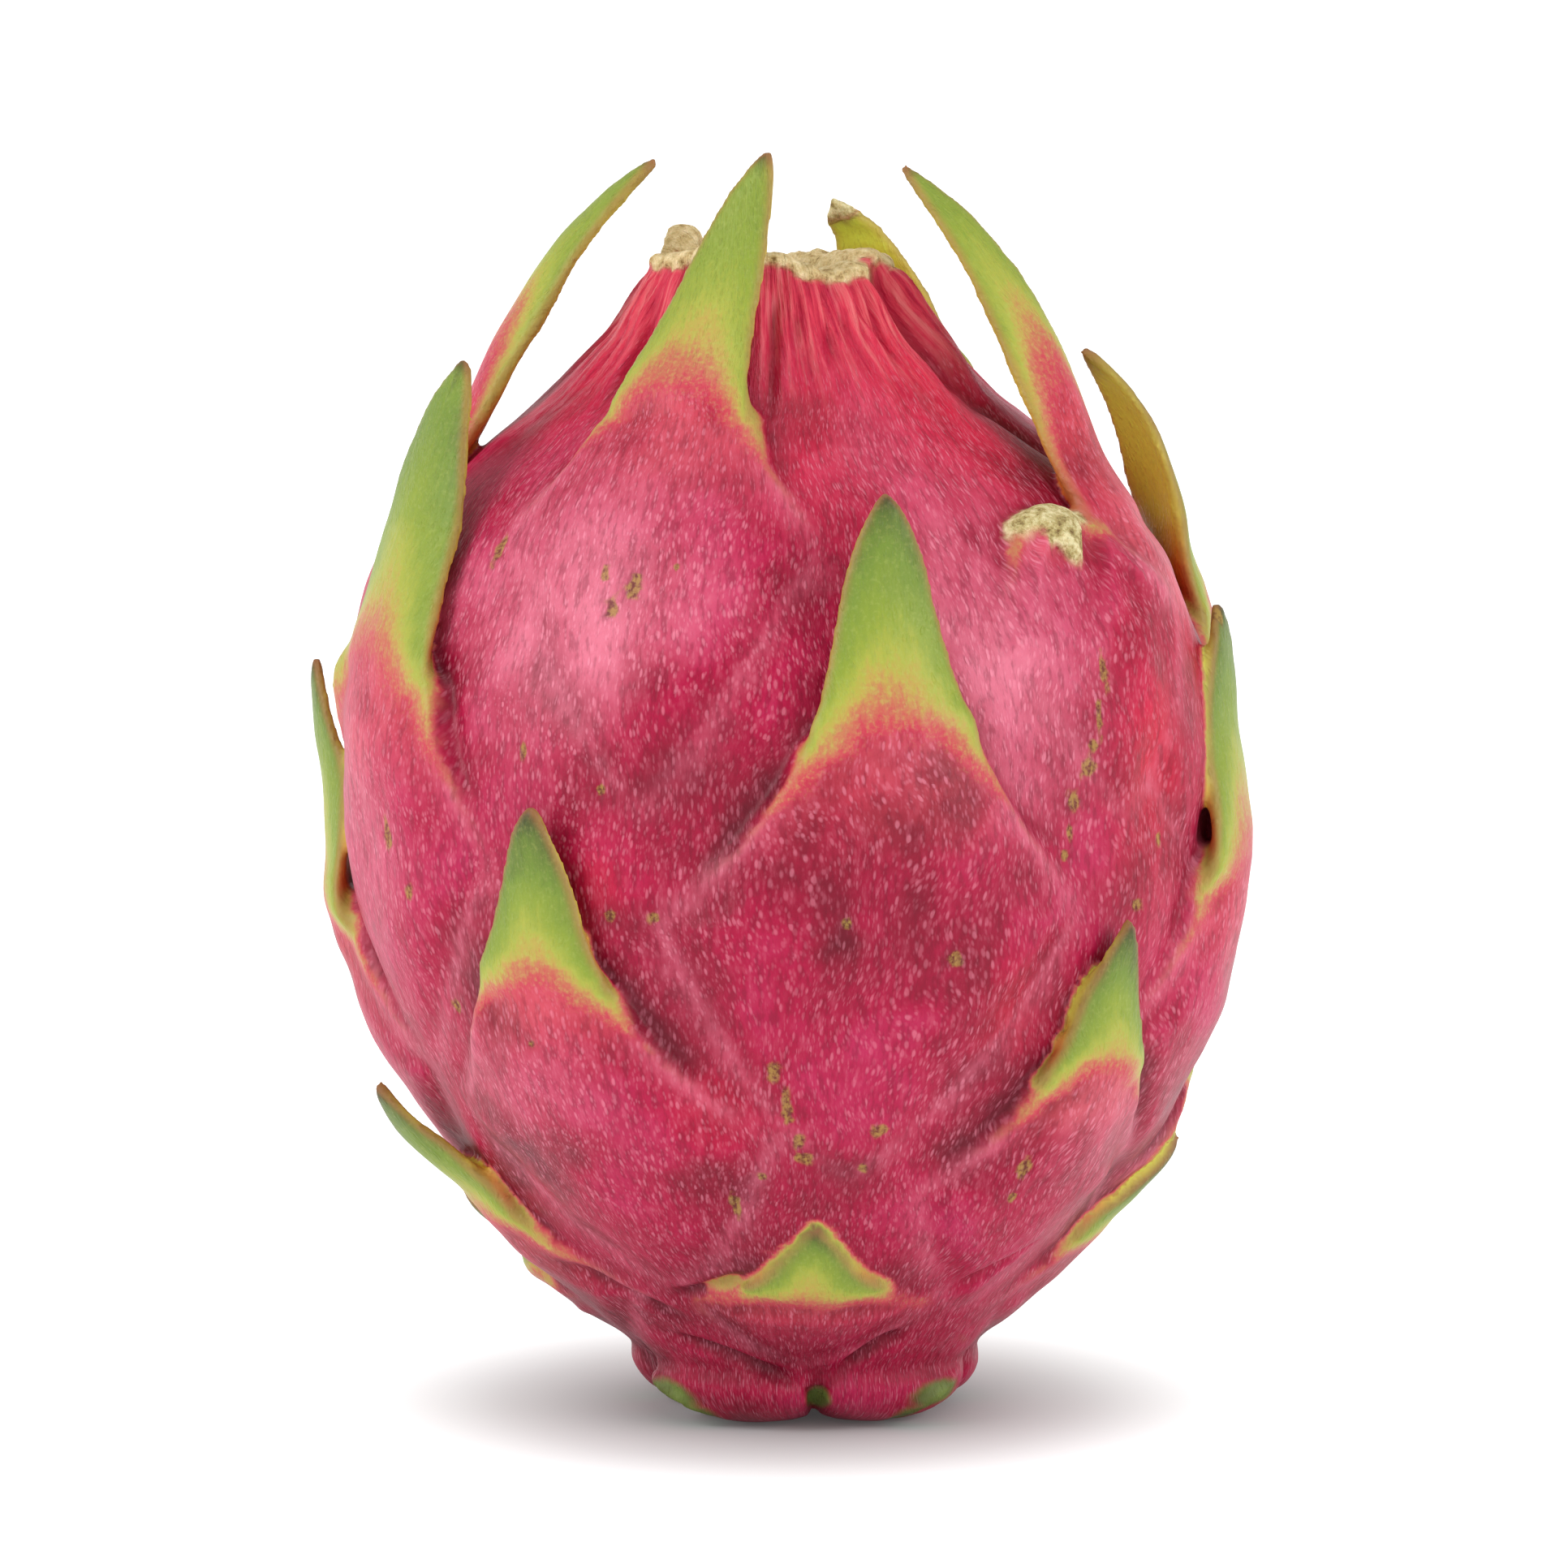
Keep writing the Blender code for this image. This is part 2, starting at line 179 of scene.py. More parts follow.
def body_radius(z):
    belly = BELLY_SHARE * BODY_LENGTH
    above = clamp((z - belly) / (BODY_LENGTH - belly))
    below = clamp((belly - z) / (belly - FOOT_HEIGHT))
    neck, foot, wide = NECK_WIDTH / 2, FOOT_WIDTH / 2, BODY_WIDTH / 2
    shoulder = neck + (wide - neck) * (1.0 - above ** SHOULDER_ROUND[0]) ** SHOULDER_ROUND[1]
    bowl = foot + (wide - foot) * (1.0 - below ** BOWL_ROUND[0]) ** BOWL_ROUND[1]
    return np.where(z >= belly, shoulder, bowl)


def axis_x(z):
    return AXIS_DRIFT * (0.5 - z / BODY_LENGTH)


# The skin's line from foot to neck, walked once: heights, distances along it and its lean from upright
LINE_Z = np.linspace(0.0, BODY_LENGTH, 1151)
LINE_R = body_radius(LINE_Z)
LINE_LEAN = np.arctan2(np.gradient(LINE_R), np.gradient(LINE_Z))
LINE_RUN = np.concatenate([[0.0], np.cumsum(np.hypot(np.diff(LINE_R), np.diff(LINE_Z)))])


def run_at(z):
    return np.interp(z, LINE_Z, LINE_RUN)


def height_at(run):
    return np.interp(run, LINE_RUN, LINE_Z)


def lean_at(z):
    return np.interp(z, LINE_Z, LINE_LEAN)


def outward(turn):
    return np.stack([np.sin(turn), -np.cos(turn), np.zeros_like(turn)], axis=-1)


def sideways(turn):
    return np.stack([np.cos(turn), np.sin(turn), np.zeros_like(turn)], axis=-1)


UP = np.array([0.0, 0.0, 1.0])


def apart(turn, other):
    """The difference of two azimuths in degrees, the short way round."""
    return (turn - other + 180.0) % 360.0 - 180.0


def wobble(points, size, seed):
    """Soft noise between -1 and 1 at each point, its bumps about size across."""
    offset = Vector((seed * 7.31, seed * 3.17, seed * 5.93))
    return np.array([noise.noise(Vector(point) / size + offset) for point in points])


# ---------------------------------------------------------------------------------------------------------
# The pieces the fruit is grown from. Each source keeps, for every point, what the skin's colour needs: its
# kind, how far it lies above its scale's root, how far across the scale it is from -1 to 1, whether it is on
# the inner face, how far it is from the scale's edge, and the scale's length.

Source = namedtuple("Source", "mesh marks")
MARKS = ("kind", "along", "across", "inside", "edge", "reach")
CORE, LEAF, RIM, WITHER = 0.0, 1.0, 2.0, 3.0


def plain_marks(count, kind):
    """Marks for points that belong to no scale."""
    marks = {name: np.zeros(count) for name in MARKS}
    marks["kind"] += kind
    marks["along"] -= FAR_BELOW
    marks["edge"] -= FAR_OUTSIDE
    marks["reach"] += PLAIN_REACH
    return marks


def facet_width(scale, below):
    """Half of a facet's width at a distance below its root: it flares into wings, then narrows."""
    near = clamp(below / scale.fall)
    past = clamp((below - scale.fall) / (scale.drop - scale.fall))
    flare = mix(ROOT_FLARE * scale.half_width, scale.wing, near ** 1.5)
    return np.where(below < scale.fall, flare, scale.wing * (1.0 - past) ** 0.75 + 0.4)


def facet_lift(scale, x, below):
    """The facet's swell and lip at a place on the skin, and how far inside its side and its edge that is."""
    near = clamp(below / scale.fall)
    width = facet_width(scale, below) - 0.25 * scale.half_width * (1.0 - smooth(below / 2.2))
    steep = (scale.wing - ROOT_FLARE * scale.half_width) * 1.5 / scale.fall
    steep = steep * np.maximum(near, 0.02) ** 0.5 * (near < 1.0)
    side = (width - np.abs(x)) / np.hypot(1.0, steep)
    down = clamp(below / scale.drop)
    bow = clamp(1.0 - (x / width) ** 2)
    swell = scale.rise * (1.0 - down) ** 0.8 * bow ** 0.7
    lip = mix(scale.lip, 0.0, near ** 1.7) * mix(0.62, 1.0, smooth(below / 6.0))
    return swell, lip, side, np.minimum(side, below + 0.4)


def facets_over(turn, z):
    """The height of all the facets on the body's skin, laid from the neck down, and their marks."""
    run, size = run_at(z), body_radius(z)
    lift = np.zeros(len(z))
    marks = plain_marks(len(z), CORE)
    for scale in sorted((*SCALES, WITHERED), key=lambda scale: -scale.height):
        below = float(run_at(scale.height * BODY_LENGTH)) - run
        trail = scale.trail * smooth(clamp(below / scale.drop))
        x = np.radians(apart(np.degrees(turn), scale.azimuth)) * size - trail
        near = np.nonzero((below > -6.0) * (below < scale.drop) * (np.abs(x) < scale.wing + 8.0))[0]
        swell, lip, side, edge = facet_lift(scale, x[near], below[near])
        fade = clamp(below[near] / scale.fall)
        soft = mix(0.6, 6.0, fade ** 3.2)
        covers = smooth(edge / soft + 0.5)
        inland = smooth(side / 6.0)
        old = lift[near]
        fresh = old + covers * mix(lip, swell - 0.6 * old, inland)
        groove = np.exp(-((edge + 1.0) / 1.3) ** 2) * (1.0 - fade ** 3) * between(below[near], -1.0, 6.0)
        lift[near] = fresh - GROOVE_DEPTH * groove
        covered = (edge > 0.0) * (covers > 0.5)
        here = near[covered]
        marks["kind"][here] = LEAF
        marks["along"][here] = -below[here]
        marks["across"][here] = x[here] / facet_width(scale, below[here])
        marks["edge"][here] = edge[covered]
        marks["reach"][here] = scale.length if scale is not WITHERED else WITHERED_REACH
    return lift, marks


def anchor_of(scale):
    return min(ANCHOR, 0.8 * scale.fall)


def tongue_width(scale, share):
    """Half of a tongue's width: it tapers evenly and comes to a blunt point."""
    share = np.minimum(share, 0.9995)
    taper = mix(0.92, 0.6, clamp((scale.length - 8.0) / 11.0))
    shape = (1.0 - taper * share) * (1.0 - share ** 6) ** 0.65 + (ROOT_FLARE - 1.0) * (1.0 - share) ** 5
    return np.maximum(scale.half_width * shape, 0.22)


def tongue_points(scale, across, along, inside):
    """Points of a scale's free tongue; along runs from inside the facet, below 0, to the tip."""
    azimuth = math.radians(scale.azimuth)
    root = scale.height * BODY_LENGTH
    anchor = anchor_of(scale)
    start_run = float(run_at(root)) - anchor
    skin_lean = float(lean_at(root))
    start, end = math.radians(scale.start), math.radians(scale.end)
    out, side = outward(np.array(azimuth)), sideways(np.array(azimuth))
    walk = np.linspace(-anchor, scale.length, TONGUE_WALK)
    share_walk = clamp(walk / scale.length)
    below_lean = lean_at(height_at(start_run + anchor + np.minimum(walk, 0.0)))
    first_lean = mix(skin_lean, start, smooth(share_walk / 0.3))
    turned_lean = mix(first_lean, end, smooth(share_walk) * share_walk ** 0.3)
    lean = np.where(walk < 0.0, below_lean, turned_lean)
    step = (scale.length + anchor) / (TONGUE_WALK - 1)
    base = height_at(start_run)
    radial = np.concatenate([[0.0], np.cumsum(np.sin(lean[1:]) * step)]) + float(body_radius(base))
    height = np.concatenate([[0.0], np.cumsum(np.cos(lean[1:]) * step)]) + float(base)
    lean_here = np.interp(along, walk, lean)
    share = clamp(along / scale.length)
    spine = out * np.interp(along, walk, radial)[:, None] + UP * np.interp(along, walk, height)[:, None]
    spine[:, 0] += float(axis_x(root))
    normal = out * np.cos(lean_here)[:, None] - UP * np.sin(lean_here)[:, None]
    rooted = facet_width(scale, -along) - 1.2 * between(-along, 0.35 * anchor, anchor)
    width = np.where(along < 0.0, rooted, tongue_width(scale, share))
    twist = math.radians(scale.twist) * smooth(share / 0.6)[:, None]
    untwisted = side
    side = untwisted * np.cos(twist) - normal * np.sin(twist)
    normal = normal * np.cos(twist) + untwisted * np.sin(twist)
    curl = mix(float(body_radius(root)), scale.gutter, smooth(share / 0.5))
    thickness = mix(ROOT_THICKNESS, TIP_THICKNESS, smooth(share * 1.3))
    rise = scale.rise - 1.8 * between(-along, 0.2 * anchor, anchor)
    middle = mix(rise - ROOT_THICKNESS / 2, 0.0, smooth(share / 0.6))
    turn = across * width / curl
    centre = spine + untwisted * (scale.sweep * share ** 2)[:, None]
    flat = side * (curl * np.sin(turn))[:, None]
    spot = centre + flat + normal * (curl * (np.cos(turn) - 1.0) + middle)[:, None]
    facing = normal * np.cos(turn)[:, None] + side * np.sin(turn)[:, None]
    half = mix(thickness, EDGE_THICKNESS, across ** 2) / 2
    return spot + facing * np.where(inside > 0.5, -half, half)[:, None], width


def closed_sheet(columns, rows):
    """A closed, flat sheet: a grid and its copy, joined round the edge.

    Its x and y run from -1 to 1, and z is 0 on the outer side and 1 on the inner.
    """
    bm = bmesh.new()
    bmesh.ops.create_grid(bm, x_segments=columns, y_segments=rows, size=1.0)
    grown = bmesh.ops.extrude_face_region(bm, geom=bm.faces[:], use_keep_orig=True)["geom"]
    copied = [item for item in grown if isinstance(item, bmesh.types.BMVert)]
    bmesh.ops.translate(bm, verts=copied, vec=(0.0, 0.0, 1.0))
    return bm


def placed(bm, points):
    """Move each of a bmesh's points to its new place, and turn its faces outwards."""
    for vert, point in zip(bm.verts, points):
        vert.co = point
    bmesh.ops.recalc_face_normals(bm, faces=bm.faces)
    return bm


def leaf_source(scale):
    """A scale's free tongue, as a closed sheet that stands in its facet."""
    anchor = anchor_of(scale)
    total = anchor + scale.length
    bm = closed_sheet(TONGUE_COLUMNS, int(total / TONGUE_ROW))
    flat = np.array([vert.co for vert in bm.verts])
    across, inside = flat[:, 0], flat[:, 2]
    along = (flat[:, 1] + 1.0) / 2.0 * total - anchor
    points, width = tongue_points(scale, across, along, inside)
    dry = scale.dry * (along > 0.88 * scale.length if scale is not WITHERED else along > -1.0)
    if scale.dry:
        withers = between(along, 0.5 * scale.length, scale.length) * 0.9
        crumple = wobble(points, 2.6, 8)[:, None] * withers[:, None]
        points = points + crumple * outward(np.full(len(along), math.radians(scale.azimuth)))
    marks = {
        "kind": np.where(dry, WITHER, LEAF),
        "along": along,
        "across": across,
        "inside": inside,
        "edge": (1.0 - np.abs(across)) * width,
        "reach": np.full(len(along), scale.length),
    }
    return Source(placed(bm, points), marks)


def turned(outline, steps):
    """An outline of (radius, height) spun once round the drifting axis."""
    bm = bmesh.new()
    verts = [bm.verts.new((radius, 0.0, z)) for radius, z in outline]
    edges = [bm.edges.new(pair) for pair in zip(verts, verts[1:])]
    bmesh.ops.spin(
        bm, geom=verts + edges, cent=(0, 0, 0), axis=(0, 0, 1), angle=math.tau, steps=steps, use_merge=True
    )
    bmesh.ops.remove_doubles(bm, verts=bm.verts, dist=0.0005)
    for vert in bm.verts:
        vert.co.x += float(axis_x(vert.co.z))
    bmesh.ops.recalc_face_normals(bm, faces=bm.faces)
    return bm


def rim_height(turn):
    """How far the dried rim stands above the neck's even edge, round the neck."""
    tall = 3.8 * np.exp(-((np.degrees(turn) + 128) / 11) ** 2)
    curl = 1.3 * np.exp(-((np.degrees(turn) - 66) / 9) ** 2)
    dip = -1.3 * np.exp(-((np.degrees(turn) - 34) / 26) ** 2)
    rough = 0.25 * np.sin(9 * turn + 1) + 0.2 * np.sin(17 * turn) + 0.15 * np.sin(31 * turn + 2)
    return tall + curl + dip + rough + 0.4 * np.sin(2 * turn + 2.4) - RIM_TILT * (0.5 - 0.5 * np.cos(turn))


def foot_bulge(turn):
    """How far the foot's lobes stand out, from 0 between them to 1."""
    bulge = np.zeros(len(turn))
    for azimuth, span, strength in LOBES:
        share = np.abs(apart(np.degrees(turn), azimuth)) / span
        bulge = np.maximum(bulge, strength * clamp(1.0 - share ** 2.2) ** 0.6)
    return bulge


def body_source():
    """The body with its facets, its lobed foot and its hollow neck."""
    foot, neck = FOOT_WIDTH / 2, NECK_WIDTH / 2
    hollow = neck - NECK_WALL
    outline = [
        (0.0, 0.0),
        (foot - SCAR_INSET, 0.0),
        (foot - 3.6, 0.3),
        (foot - 2.2, 0.9),
        (foot - 1.1, 1.9),
        (foot - 0.4, 3.2),
    ]
    outline += [(float(body_radius(z)), z) for z in np.linspace(4.4, BODY_LENGTH - 0.8, BODY_RINGS)]
    outline += [
        (neck - 0.7, BODY_LENGTH - 0.1),
        (neck - 1.8, BODY_LENGTH),
        (hollow + 0.8, BODY_LENGTH - 0.6),
        (hollow, BODY_LENGTH - 3.0),
        (hollow - 0.6, BODY_LENGTH - HOLLOW_DEPTH + 2.0),
        (hollow - 2.0, BODY_LENGTH - HOLLOW_DEPTH),
        (0.0, BODY_LENGTH - HOLLOW_DEPTH),
    ]
    bm = turned(outline, BODY_STEPS)
    points = np.array([vert.co for vert in bm.verts])
    z = points[:, 2]
    turn = np.arctan2(points[:, 0] - axis_x(z), -points[:, 1])
    away = np.hypot(points[:, 0] - axis_x(z), points[:, 1])
    skin = (away > body_radius(z) - 4.5) * (z < BODY_LENGTH - 0.7) * (z > 0.1)
    lift, marks = facets_over(turn, z)
    lobes = foot_bulge(turn)
    under = np.sqrt(clamp(1.0 - (1.0 - np.minimum(z, FOOT_HEIGHT) / FOOT_HEIGHT) ** 2))
    low = (1.0 - between(z, 4.0, LOBE_HEIGHT)) * under
    lift = lift * between(z, 1.0, 6.0) * (1.0 - 0.7 * between(z, BODY_LENGTH - 12.0, BODY_LENGTH - 2.0))
    lift += LOBE_BULGE * low * (lobes - 0.35)
    lift -= NECK_WAIST * between(z, 92.0, 104.0) * (1.0 - 0.8 * between(z, 107.0, BODY_LENGTH - 0.5))
    lean = lean_at(z)
    normal = outward(turn) * np.cos(lean)[:, None] - UP * (np.sin(lean) * between(z, 4.0, 14.0))[:, None]
    points += normal * (lift * skin)[:, None]
    points[:, 2] += (1.0 - lobes) * 2.6 * (1.0 - between(z, 0.3, 4.0)) * between(away, foot - 9.0, foot - 2.0)
    points[:, 2] += rim_height(turn) * between(z, BODY_LENGTH - 4.0, BODY_LENGTH)
    plain = plain_marks(len(z), CORE)
    for name in marks:
        marks[name] = np.where(skin, marks[name], plain[name])
    in_hollow = (away < neck - 1.2) * (z > BODY_LENGTH - HOLLOW_DEPTH - 1.0)
    marks["kind"] = np.where(in_hollow, RIM, marks["kind"])
    return Source(placed(bm, points), marks)


def rim_source():
    """The dried flower's papery rim, a thin rough lip that lies on the neck's edge."""
    neck = NECK_WIDTH / 2
    outline = [
        (neck - 3.0, BODY_LENGTH - 1.3),
        (neck - 1.4, BODY_LENGTH - 0.9),
        (neck + 0.1, BODY_LENGTH - 0.55),
        (neck + 0.5, BODY_LENGTH - 0.1),
        (neck - 0.2, BODY_LENGTH + 0.35),
        (neck - 1.7, BODY_LENGTH + 0.45),
        (neck - 2.8, BODY_LENGTH + 0.1),
        (neck - 3.4, BODY_LENGTH - 0.8),
        (neck - 3.0, BODY_LENGTH - 1.3),
    ]
    bm = turned(outline, RIM_STEPS)
    points = np.array([vert.co for vert in bm.verts])
    turn = np.arctan2(points[:, 0] - axis_x(points[:, 2]), -points[:, 1])
    points[:, 2] += rim_height(turn) + 0.22 * wobble(points, 1.8, 9)
    points += outward(turn) * (0.35 * wobble(points, 2.4, 3))[:, None]
    return Source(placed(bm, points), plain_marks(len(points), RIM))


def all_sources():
    sources = [body_source(), rim_source()]
    sources += [leaf_source(scale) for scale in (*SCALES, WITHERED)]
    return sources


# ---------------------------------------------------------------------------------------------------------
# Growing the pieces into one skin


def joined_arrays(sources):
    """The sources' points, triangles and marks in one set of arrays."""
    points, triangles, marks, start = [], [], {name: [] for name in MARKS}, 0
    for source in sources:
        bm = source.mesh
        bm.verts.index_update()
        points.append(np.array([vert.co for vert in bm.verts]))
        bmesh.ops.triangulate(bm, faces=bm.faces)
        triangles.append(np.array([[vert.index for vert in face.verts] for face in bm.faces]) + start)
        start += len(bm.verts)
        for name in MARKS:
            marks[name].append(source.marks[name])
        bm.free()
    marks = {name: np.concatenate(values) for name, values in marks.items()}
    return np.concatenate(points), np.concatenate(triangles), marks


def mesh_from(name, points, faces):
    mesh = bpy.data.meshes.new(name)
    mesh.from_pydata(points.tolist(), [], faces.tolist())
    return mesh


def through_modifier(mesh, kind, settings):
    """A mesh after one modifier."""
    holder = bpy.data.objects.new("working", mesh)
    bpy.context.scene.collection.objects.link(holder)
    modifier = holder.modifiers.new("step", kind)
    for setting, value in settings.items():
        setattr(modifier, setting, value)
    view = bpy.context.evaluated_depsgraph_get()
    result = bpy.data.meshes.new_from_object(holder.evaluated_get(view))
    bpy.data.objects.remove(holder)
    bpy.data.meshes.remove(mesh)
    return result


def points_of(mesh):
    values = np.empty(len(mesh.vertices) * 3)
    mesh.vertices.foreach_get("co", values)
    return values.reshape(-1, 3)


def normals_of(mesh):
    values = np.empty(len(mesh.vertices) * 3, np.float32)
    mesh.vertices.foreach_get("normal", values)
    return values.reshape(-1, 3).astype(float)


def edges_of(mesh):
    values = np.empty(len(mesh.edges) * 2, np.int32)
    mesh.edges.foreach_get("vertices", values)
    return values.reshape(-1, 2)


class Neighbours:
    """Averages over each point's neighbours, for smoothing places or values."""

    def __init__(self, mesh):
        pairs = edges_of(mesh)
        self.left = np.concatenate([pairs[:, 0], pairs[:, 1]])
        self.right = np.concatenate([pairs[:, 1], pairs[:, 0]])
        self.count = len(mesh.vertices)
        self.degree = np.maximum(np.bincount(self.left, minlength=self.count), 1)

    def average(self, values):
        if values.ndim == 1:
            return np.bincount(self.left, weights=values[self.right], minlength=self.count) / self.degree
        return np.stack([self.average(values[:, i]) for i in range(values.shape[1])], axis=1)

    def relaxed(self, values, rounds, amount=0.5):
        for _ in range(rounds):
            step = self.average(values) - values
            values = values + (step.T * amount).T
        return values


def marks_at(points, source_points, source_triangles, source_marks, tree):
    """Each point's marks, read off the nearest spot of the sources."""
    found = np.empty(len(points), np.int64)
    spots = np.empty((len(points), 3))
    for i, point in enumerate(points):
        spot, _, index, _ = tree.find_nearest(point)
        found[i] = index
        spots[i] = spot
    corners = source_triangles[found]
    a, b, c = (source_points[corners[:, k]] for k in range(3))
    ab, ac, ap = b - a, c - a, spots - a
    d00, d01, d11 = (ab * ab).sum(1), (ab * ac).sum(1), (ac * ac).sum(1)
    d20, d21 = (ap * ab).sum(1), (ap * ac).sum(1)
    whole = np.maximum(d00 * d11 - d01 * d01, 1e-12)
    v = clamp((d11 * d20 - d01 * d21) / whole)
    w = clamp((d00 * d21 - d01 * d20) / whole)
    shares = np.stack([clamp(1.0 - v - w), v, w], axis=1)
    return {name: (values[corners] * shares).sum(1) for name, values in source_marks.items()}


def grow_skin():
    """All the pieces grown into one skin, and the pieces' own points, triangles, marks and search tree."""
    points, triangles, marks = joined_arrays(all_sources())
    tree = BVHTree.FromPolygons(points.tolist(), triangles.tolist(), all_triangles=True)
    lump = mesh_from("lump", points, triangles)
    skin = through_modifier(lump, "REMESH", {"mode": "VOXEL", "voxel_size": GRAIN, "adaptivity": 0.0})
    return skin, (points, triangles, marks, tree)


# ---------------------------------------------------------------------------------------------------------
# Sculpting. Places on the skin are (azimuth, height).

# Creases in the skin: from, to, depth and half-width in millimetres. A negative depth is a raised fold.
CREASES = (
    # pleats of the neck, front
    ((2, 113), (-1, 101), 1.5, 0.55),
    ((24, 113), (20, 105), 0.9, 0.4),
    ((39, 112), (35, 106), 0.7, 0.35),
    ((48, 113), (42, 104), 1.0, 0.4),
    ((13, 113), (9, 107), 0.5, 0.3),
    ((30, 113), (28, 107), 0.5, 0.3),
    ((-59, 113), (-62, 107), 0.8, 0.35),
    ((-50, 111), (-51, 101), 0.9, 0.4),
    ((-70, 112), (-66, 103), 0.7, 0.4),
    ((60, 115), (63, 101), 2.4, 1.3),
    ((76, 115), (72, 101), -1.4, 1.8),
    ((66, 103), (74, 94), 1.0, 1.2),
    ((-34, 112), (-36, 104), 1.0, 0.6),
    # and round the back
    ((95, 113), (98, 102), 1.0, 0.5),
    ((118, 113), (115, 104), 0.8, 0.5),
    ((165, 113), (170, 102), 1.2, 0.6),
    ((-172, 113), (-178, 105), 0.8, 0.5),
    ((-140, 113), (-137, 101), 1.1, 0.6),
    ((-95, 113), (-92, 103), 1.0, 0.5),
    # the foot's folds and the notch between its front lobes
    ((-42, 10), (0, 4.5), 1.2, 0.8),
    ((28, 11), (6, 4.5), 1.3, 0.8),
    ((3, 5), (3, -1), 1.2, 0.7),
    # the lips of the dried flaps under the lobes
    ((-66, 5.2), (-34, 1.2), -0.9, 0.45),
    ((32, 1.4), (60, 5.4), -0.9, 0.45),
    ((-62, 3.0), (-40, 0.4), 0.6, 0.6),
    ((38, 0.4), (58, 3.4), 0.6, 0.6),
    ((-62, 8), (-70, 0), 1.2, 0.9),
    ((70, 8), (74, 0), 1.2, 0.9),
    ((120, 9), (122, 0), 1.4, 0.9),
    ((178, 9), (176, 0), 1.4, 0.9),
    ((-128, 9), (-126, 0), 1.3, 0.9),
    ((-33, 14.5), (-9, 18), 0.9, 0.7),
    ((-58, 17), (-33, 12), 0.8, 0.8),
    ((34, 15), (52, 20), 0.8, 0.8),
    # furrows beside the withered scale
    ((47, 91), (40, 85), -0.7, 0.5),
    ((40, 85), (32, 78), -0.5, 0.9),
    ((57, 88), (62, 84), -0.6, 0.5),
)

# Brown scuffs: azimuth, height, half-width and half-length in millimetres
SCUFFS = (
    (-21, 86, 1.0, 1.6), (-24, 84, 0.8, 1.4), (-26, 87, 0.5, 1.0), (-50, 88, 0.8, 2.2), (-25, 67, 0.6, 0.6),
    (-37, 70, 0.6, 1.2), (-61, 60, 0.8, 2.4), (-57, 55, 0.8, 0.9), (-54, 44, 0.9, 0.9), (-36, 42, 0.6, 0.6),
    (-24, 55, 1.0, 0.7), (-18, 55, 0.8, 0.7), (-3, 40, 1.1, 1.4), (-1.5, 36.5, 0.7, 2.4), (0, 33, 0.8, 1.3),
    (1, 31, 1.1, 0.8), (12, 34, 1.3, 1.0), (-11, 26, 0.6, 1.6), (-6, 29, 0.6, 0.6), (10, 30, 0.7, 0.6),
    (36, 29, 0.8, 1.4), (36, 26, 0.5, 0.7), (48, 77, 0.6, 2.2), (46, 73, 0.5, 2.4), (44, 68, 1.4, 1.2),
    (45, 70, 0.9, 0.8), (41, 65, 1.1, 1.3), (40, 62, 0.5, 1.4), (39, 60, 0.6, 0.7), (21, 51, 1.1, 0.9),
    (53, 54, 1.0, 0.8), (58, 60, 0.6, 0.8), (-15, 88, 0.4, 0.5), (7, 55, 0.5, 0.9), (100, 62, 0.8, 1.8),
    (118, 50, 1.0, 0.9), (141, 70, 0.8, 1.6), (172, 52, 1.1, 0.9), (-176, 78, 0.7, 2.0),
    (-150, 60, 0.9, 1.2), (-128, 72, 0.8, 1.4), (-118, 46, 1.0, 0.8), (150, 38, 0.9, 1.3),
    (-155, 36, 0.7, 0.9), (78, 80, 0.6, 1.4), (-88, 70, 0.7, 1.5), (-95, 34, 0.8, 0.8), (125, 88, 0.7, 1.6),
    (-140, 90, 0.7, 1.3),
)

# Painted sheen where the lamps shine back off the facets that swell most, partly a pale, waxy bloom: azimuth,
# height, half-width, half-length and strength
SHEENS_AND_BLOOMS = (
    (-32, 84, 13, 11, 1.0), (30, 80, 11, 13, 1.0), (-58, 82, 7, 10, 0.5), (18, 98, 8, 5, 0.35),
    (-68, 62, 7, 10, 0.4), (62, 62, 7, 10, 0.35), (46, 34, 8, 5, 0.45), (-40, 38, 9, 5, 0.3),
    (75, 88, 8, 10, 0.6), (110, 60, 10, 12, 0.6), (135, 84, 10, 12, 0.8), (178, 66, 12, 12, 0.8),
    (-120, 82, 10, 12, 0.8), (-148, 58, 11, 12, 0.6), (165, 95, 8, 6, 0.5), (-100, 60, 8, 10, 0.5),
    (130, 32, 9, 6, 0.4), (-110, 34, 9, 6, 0.4), (-170, 34, 9, 6, 0.4),
)

# Green flaps dried on under the foot's lobes, and green left on two facets, in the same terms
FLAPS = (
    (-54, 2.8, 4.2, 2.0), (-44, 1.2, 3.0, 1.2), (48, 3.2, 3.6, 1.8), (40, 1.4, 2.4, 1.2),
    (4, 3.2, 1.4, 1.6), (104, 2.6, 3.2, 1.8), (154, 2.6, 3.0, 1.8), (-160, 2.6, 3.4, 1.8),
    (-104, 2.8, 3.0, 1.8), (-70, 13.0, 2.4, 3.0, 0.4), (52, 9.0, 3.0, 1.2, 0.5),
)

